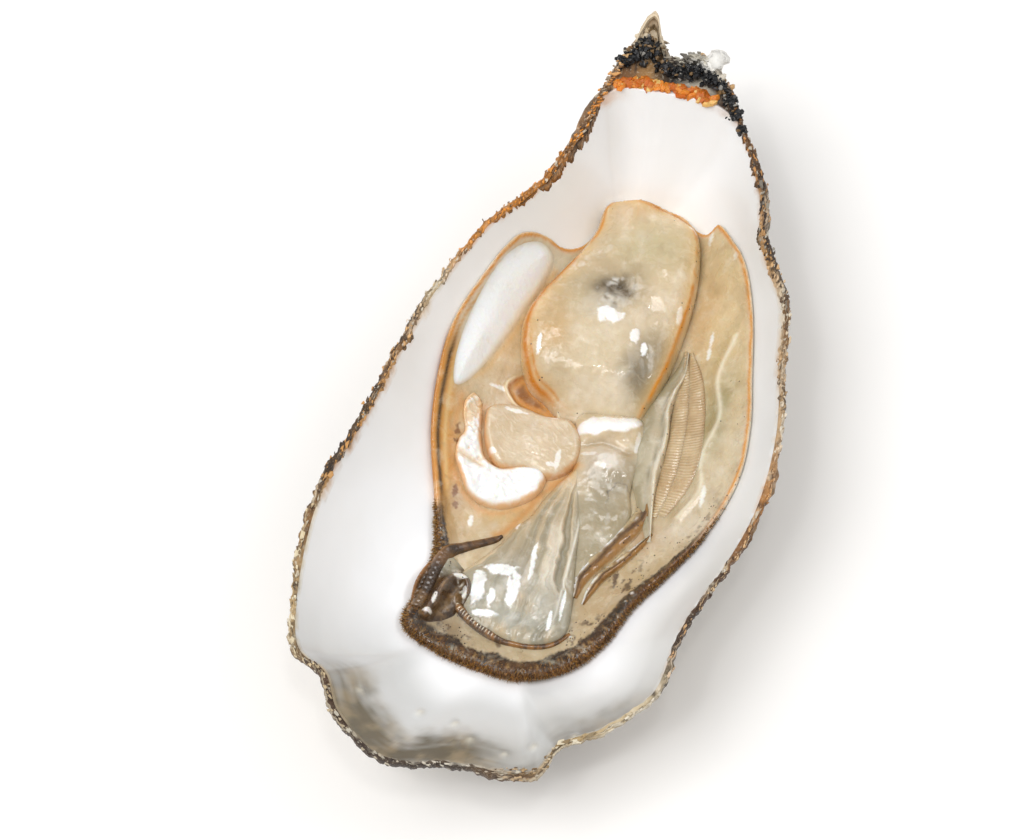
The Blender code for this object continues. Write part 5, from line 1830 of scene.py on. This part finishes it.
def make_hinge_lumps(seed=53):
    """Pale chalky lumps and splinters of the beak."""
    draw = np.random.default_rng(seed)
    heap = Heap()
    for x, y, size, rise, tone in ((10.4, 49.6, 2.0, 1.1, (244, 241, 234)), (12.4, 47.6, 0.9, 1.1,
                                   (226, 216, 198)), (9.2, 50.2, 0.8, 0.6, (214, 178, 132)),
                                   (7.6, 48.8, 0.5, 1.0, (236, 232, 220)),
                                   (5.4, 48.6, 0.5, 1.1, (224, 220, 210)),
                                   (13.8, 46.4, 0.6, 0.6, (206, 164, 112)),
                                   (0.6, 51.8, 0.9, 0.5, (232, 216, 188)),
                                   (1.0, 53.2, 0.7, 0.5, (228, 206, 170))):
        spot = np.array((x, y))
        for _ in range(5):
            here = spot + draw.normal(0, 0.35 * size, 2)
            middle = (*here, plate_height(here) + rise * draw.uniform(0.2, 1.0))
            points, faces = lump(middle, size * draw.uniform(0.35, 0.7, 3), draw, 0.3, 2)
            heap.add(points, faces, paint(*tone))
    return heap.finish("beak_lumps")


def make_hinge_parts():
    """The ligament's crumbs, the orange pad and the pale lumps, on the hinge plate."""
    place_piece(make_ligament(), black_finish(), "ligament", "hinge_ligament")
    place_piece(make_resilium(), amber_finish(), "resilium", "hinge_resilium")
    place_piece(make_hinge_lumps(), flake_finish(), "nacre")


# ---------------------------------------------------------------- the stage

CAMERA_TARGET = Vector((-6.735, -3.247, 13.02)) * MM
CAMERA_AZIMUTH = 11.5
CAMERA_ELEVATION = 66.0
CAMERA_DISTANCE = 380.0 * MM
FLOOR_HALF = 3.0
FLOOR_DROP = 0.02


def direction(azimuth, elevation):
    """The way from the object to something seen at an azimuth and elevation."""
    turn, lift = math.radians(azimuth), math.radians(elevation)
    return Vector((math.sin(turn) * math.cos(lift), -math.cos(turn) * math.cos(lift),
                   math.sin(lift)))


def look_from(thing, place, target):
    thing.location = place
    thing.rotation_euler = (target - place).to_track_quat("-Z", "Y").to_euler()
    bpy.context.scene.collection.objects.link(thing)


def make_stage():
    """A white table, soft studio light and the camera."""
    table = add_object("table", np.array(((-1, -1, 0), (1, -1, 0), (1, 1, 0), (-1, 1, 0)))
                       * FLOOR_HALF / MM - (0, 0, FLOOR_DROP), [(0, 1, 2, 3)], closed=False)
    table.data.materials.append(new_finish("table_white", Base_Color=rgba(253, 251, 248),
                                           Roughness=0.9, Specular_IOR_Level=0.1)[0])

    camera = bpy.data.cameras.new("camera")
    camera.lens = 100.0
    camera.sensor_width = 36.0
    camera.clip_start = 0.01
    viewer = bpy.data.objects.new("camera", camera)
    look_from(viewer, CAMERA_TARGET + direction(CAMERA_AZIMUTH, CAMERA_ELEVATION)
              * CAMERA_DISTANCE, CAMERA_TARGET)
    bpy.context.scene.camera = viewer

    for name, azimuth, elevation, distance, size, power, colour in (
            ("window_light", -60, 62, 0.9, 0.5, 4.0, (0.985, 0.99, 1.0)),
            ("fill_light", 120, 50, 0.9, 0.4, 1.0, (0.97, 0.98, 1.0)),
            ("glint_light", 20, 80, 0.6, 0.05, 0.22, (1.0, 1.0, 1.0)),
            ("glint_light_left", -30, 70, 0.6, 0.04, 0.16, (1.0, 1.0, 1.0))):
        lamp = bpy.data.lights.new(name, "AREA")
        lamp.size = size
        lamp.energy = power
        lamp.color = colour
        look_from(bpy.data.objects.new(name, lamp), direction(azimuth, elevation) * distance,
                  Vector((0, 0, 0)))

    world = bpy.data.worlds.new("white_room")
    bpy.context.scene.world = world
    world.use_nodes = True
    sky = world.node_tree.nodes["Background"]
    sky.inputs["Color"].default_value = (0.985, 0.99, 1.0, 1.0)
    sky.inputs["Strength"].default_value = 0.6
    bpy.context.scene.view_settings.view_transform = "Standard"


make_stage()

place_piece(make_shell(), shell_finish(), "nacre", "shell_cup")
crust = flake_finish()
place_piece(make_rim_crust(), crust, "nacre")
place_piece(make_rim_flakes(), crust, "nacre")
make_soft_parts()
make_hinge_parts()
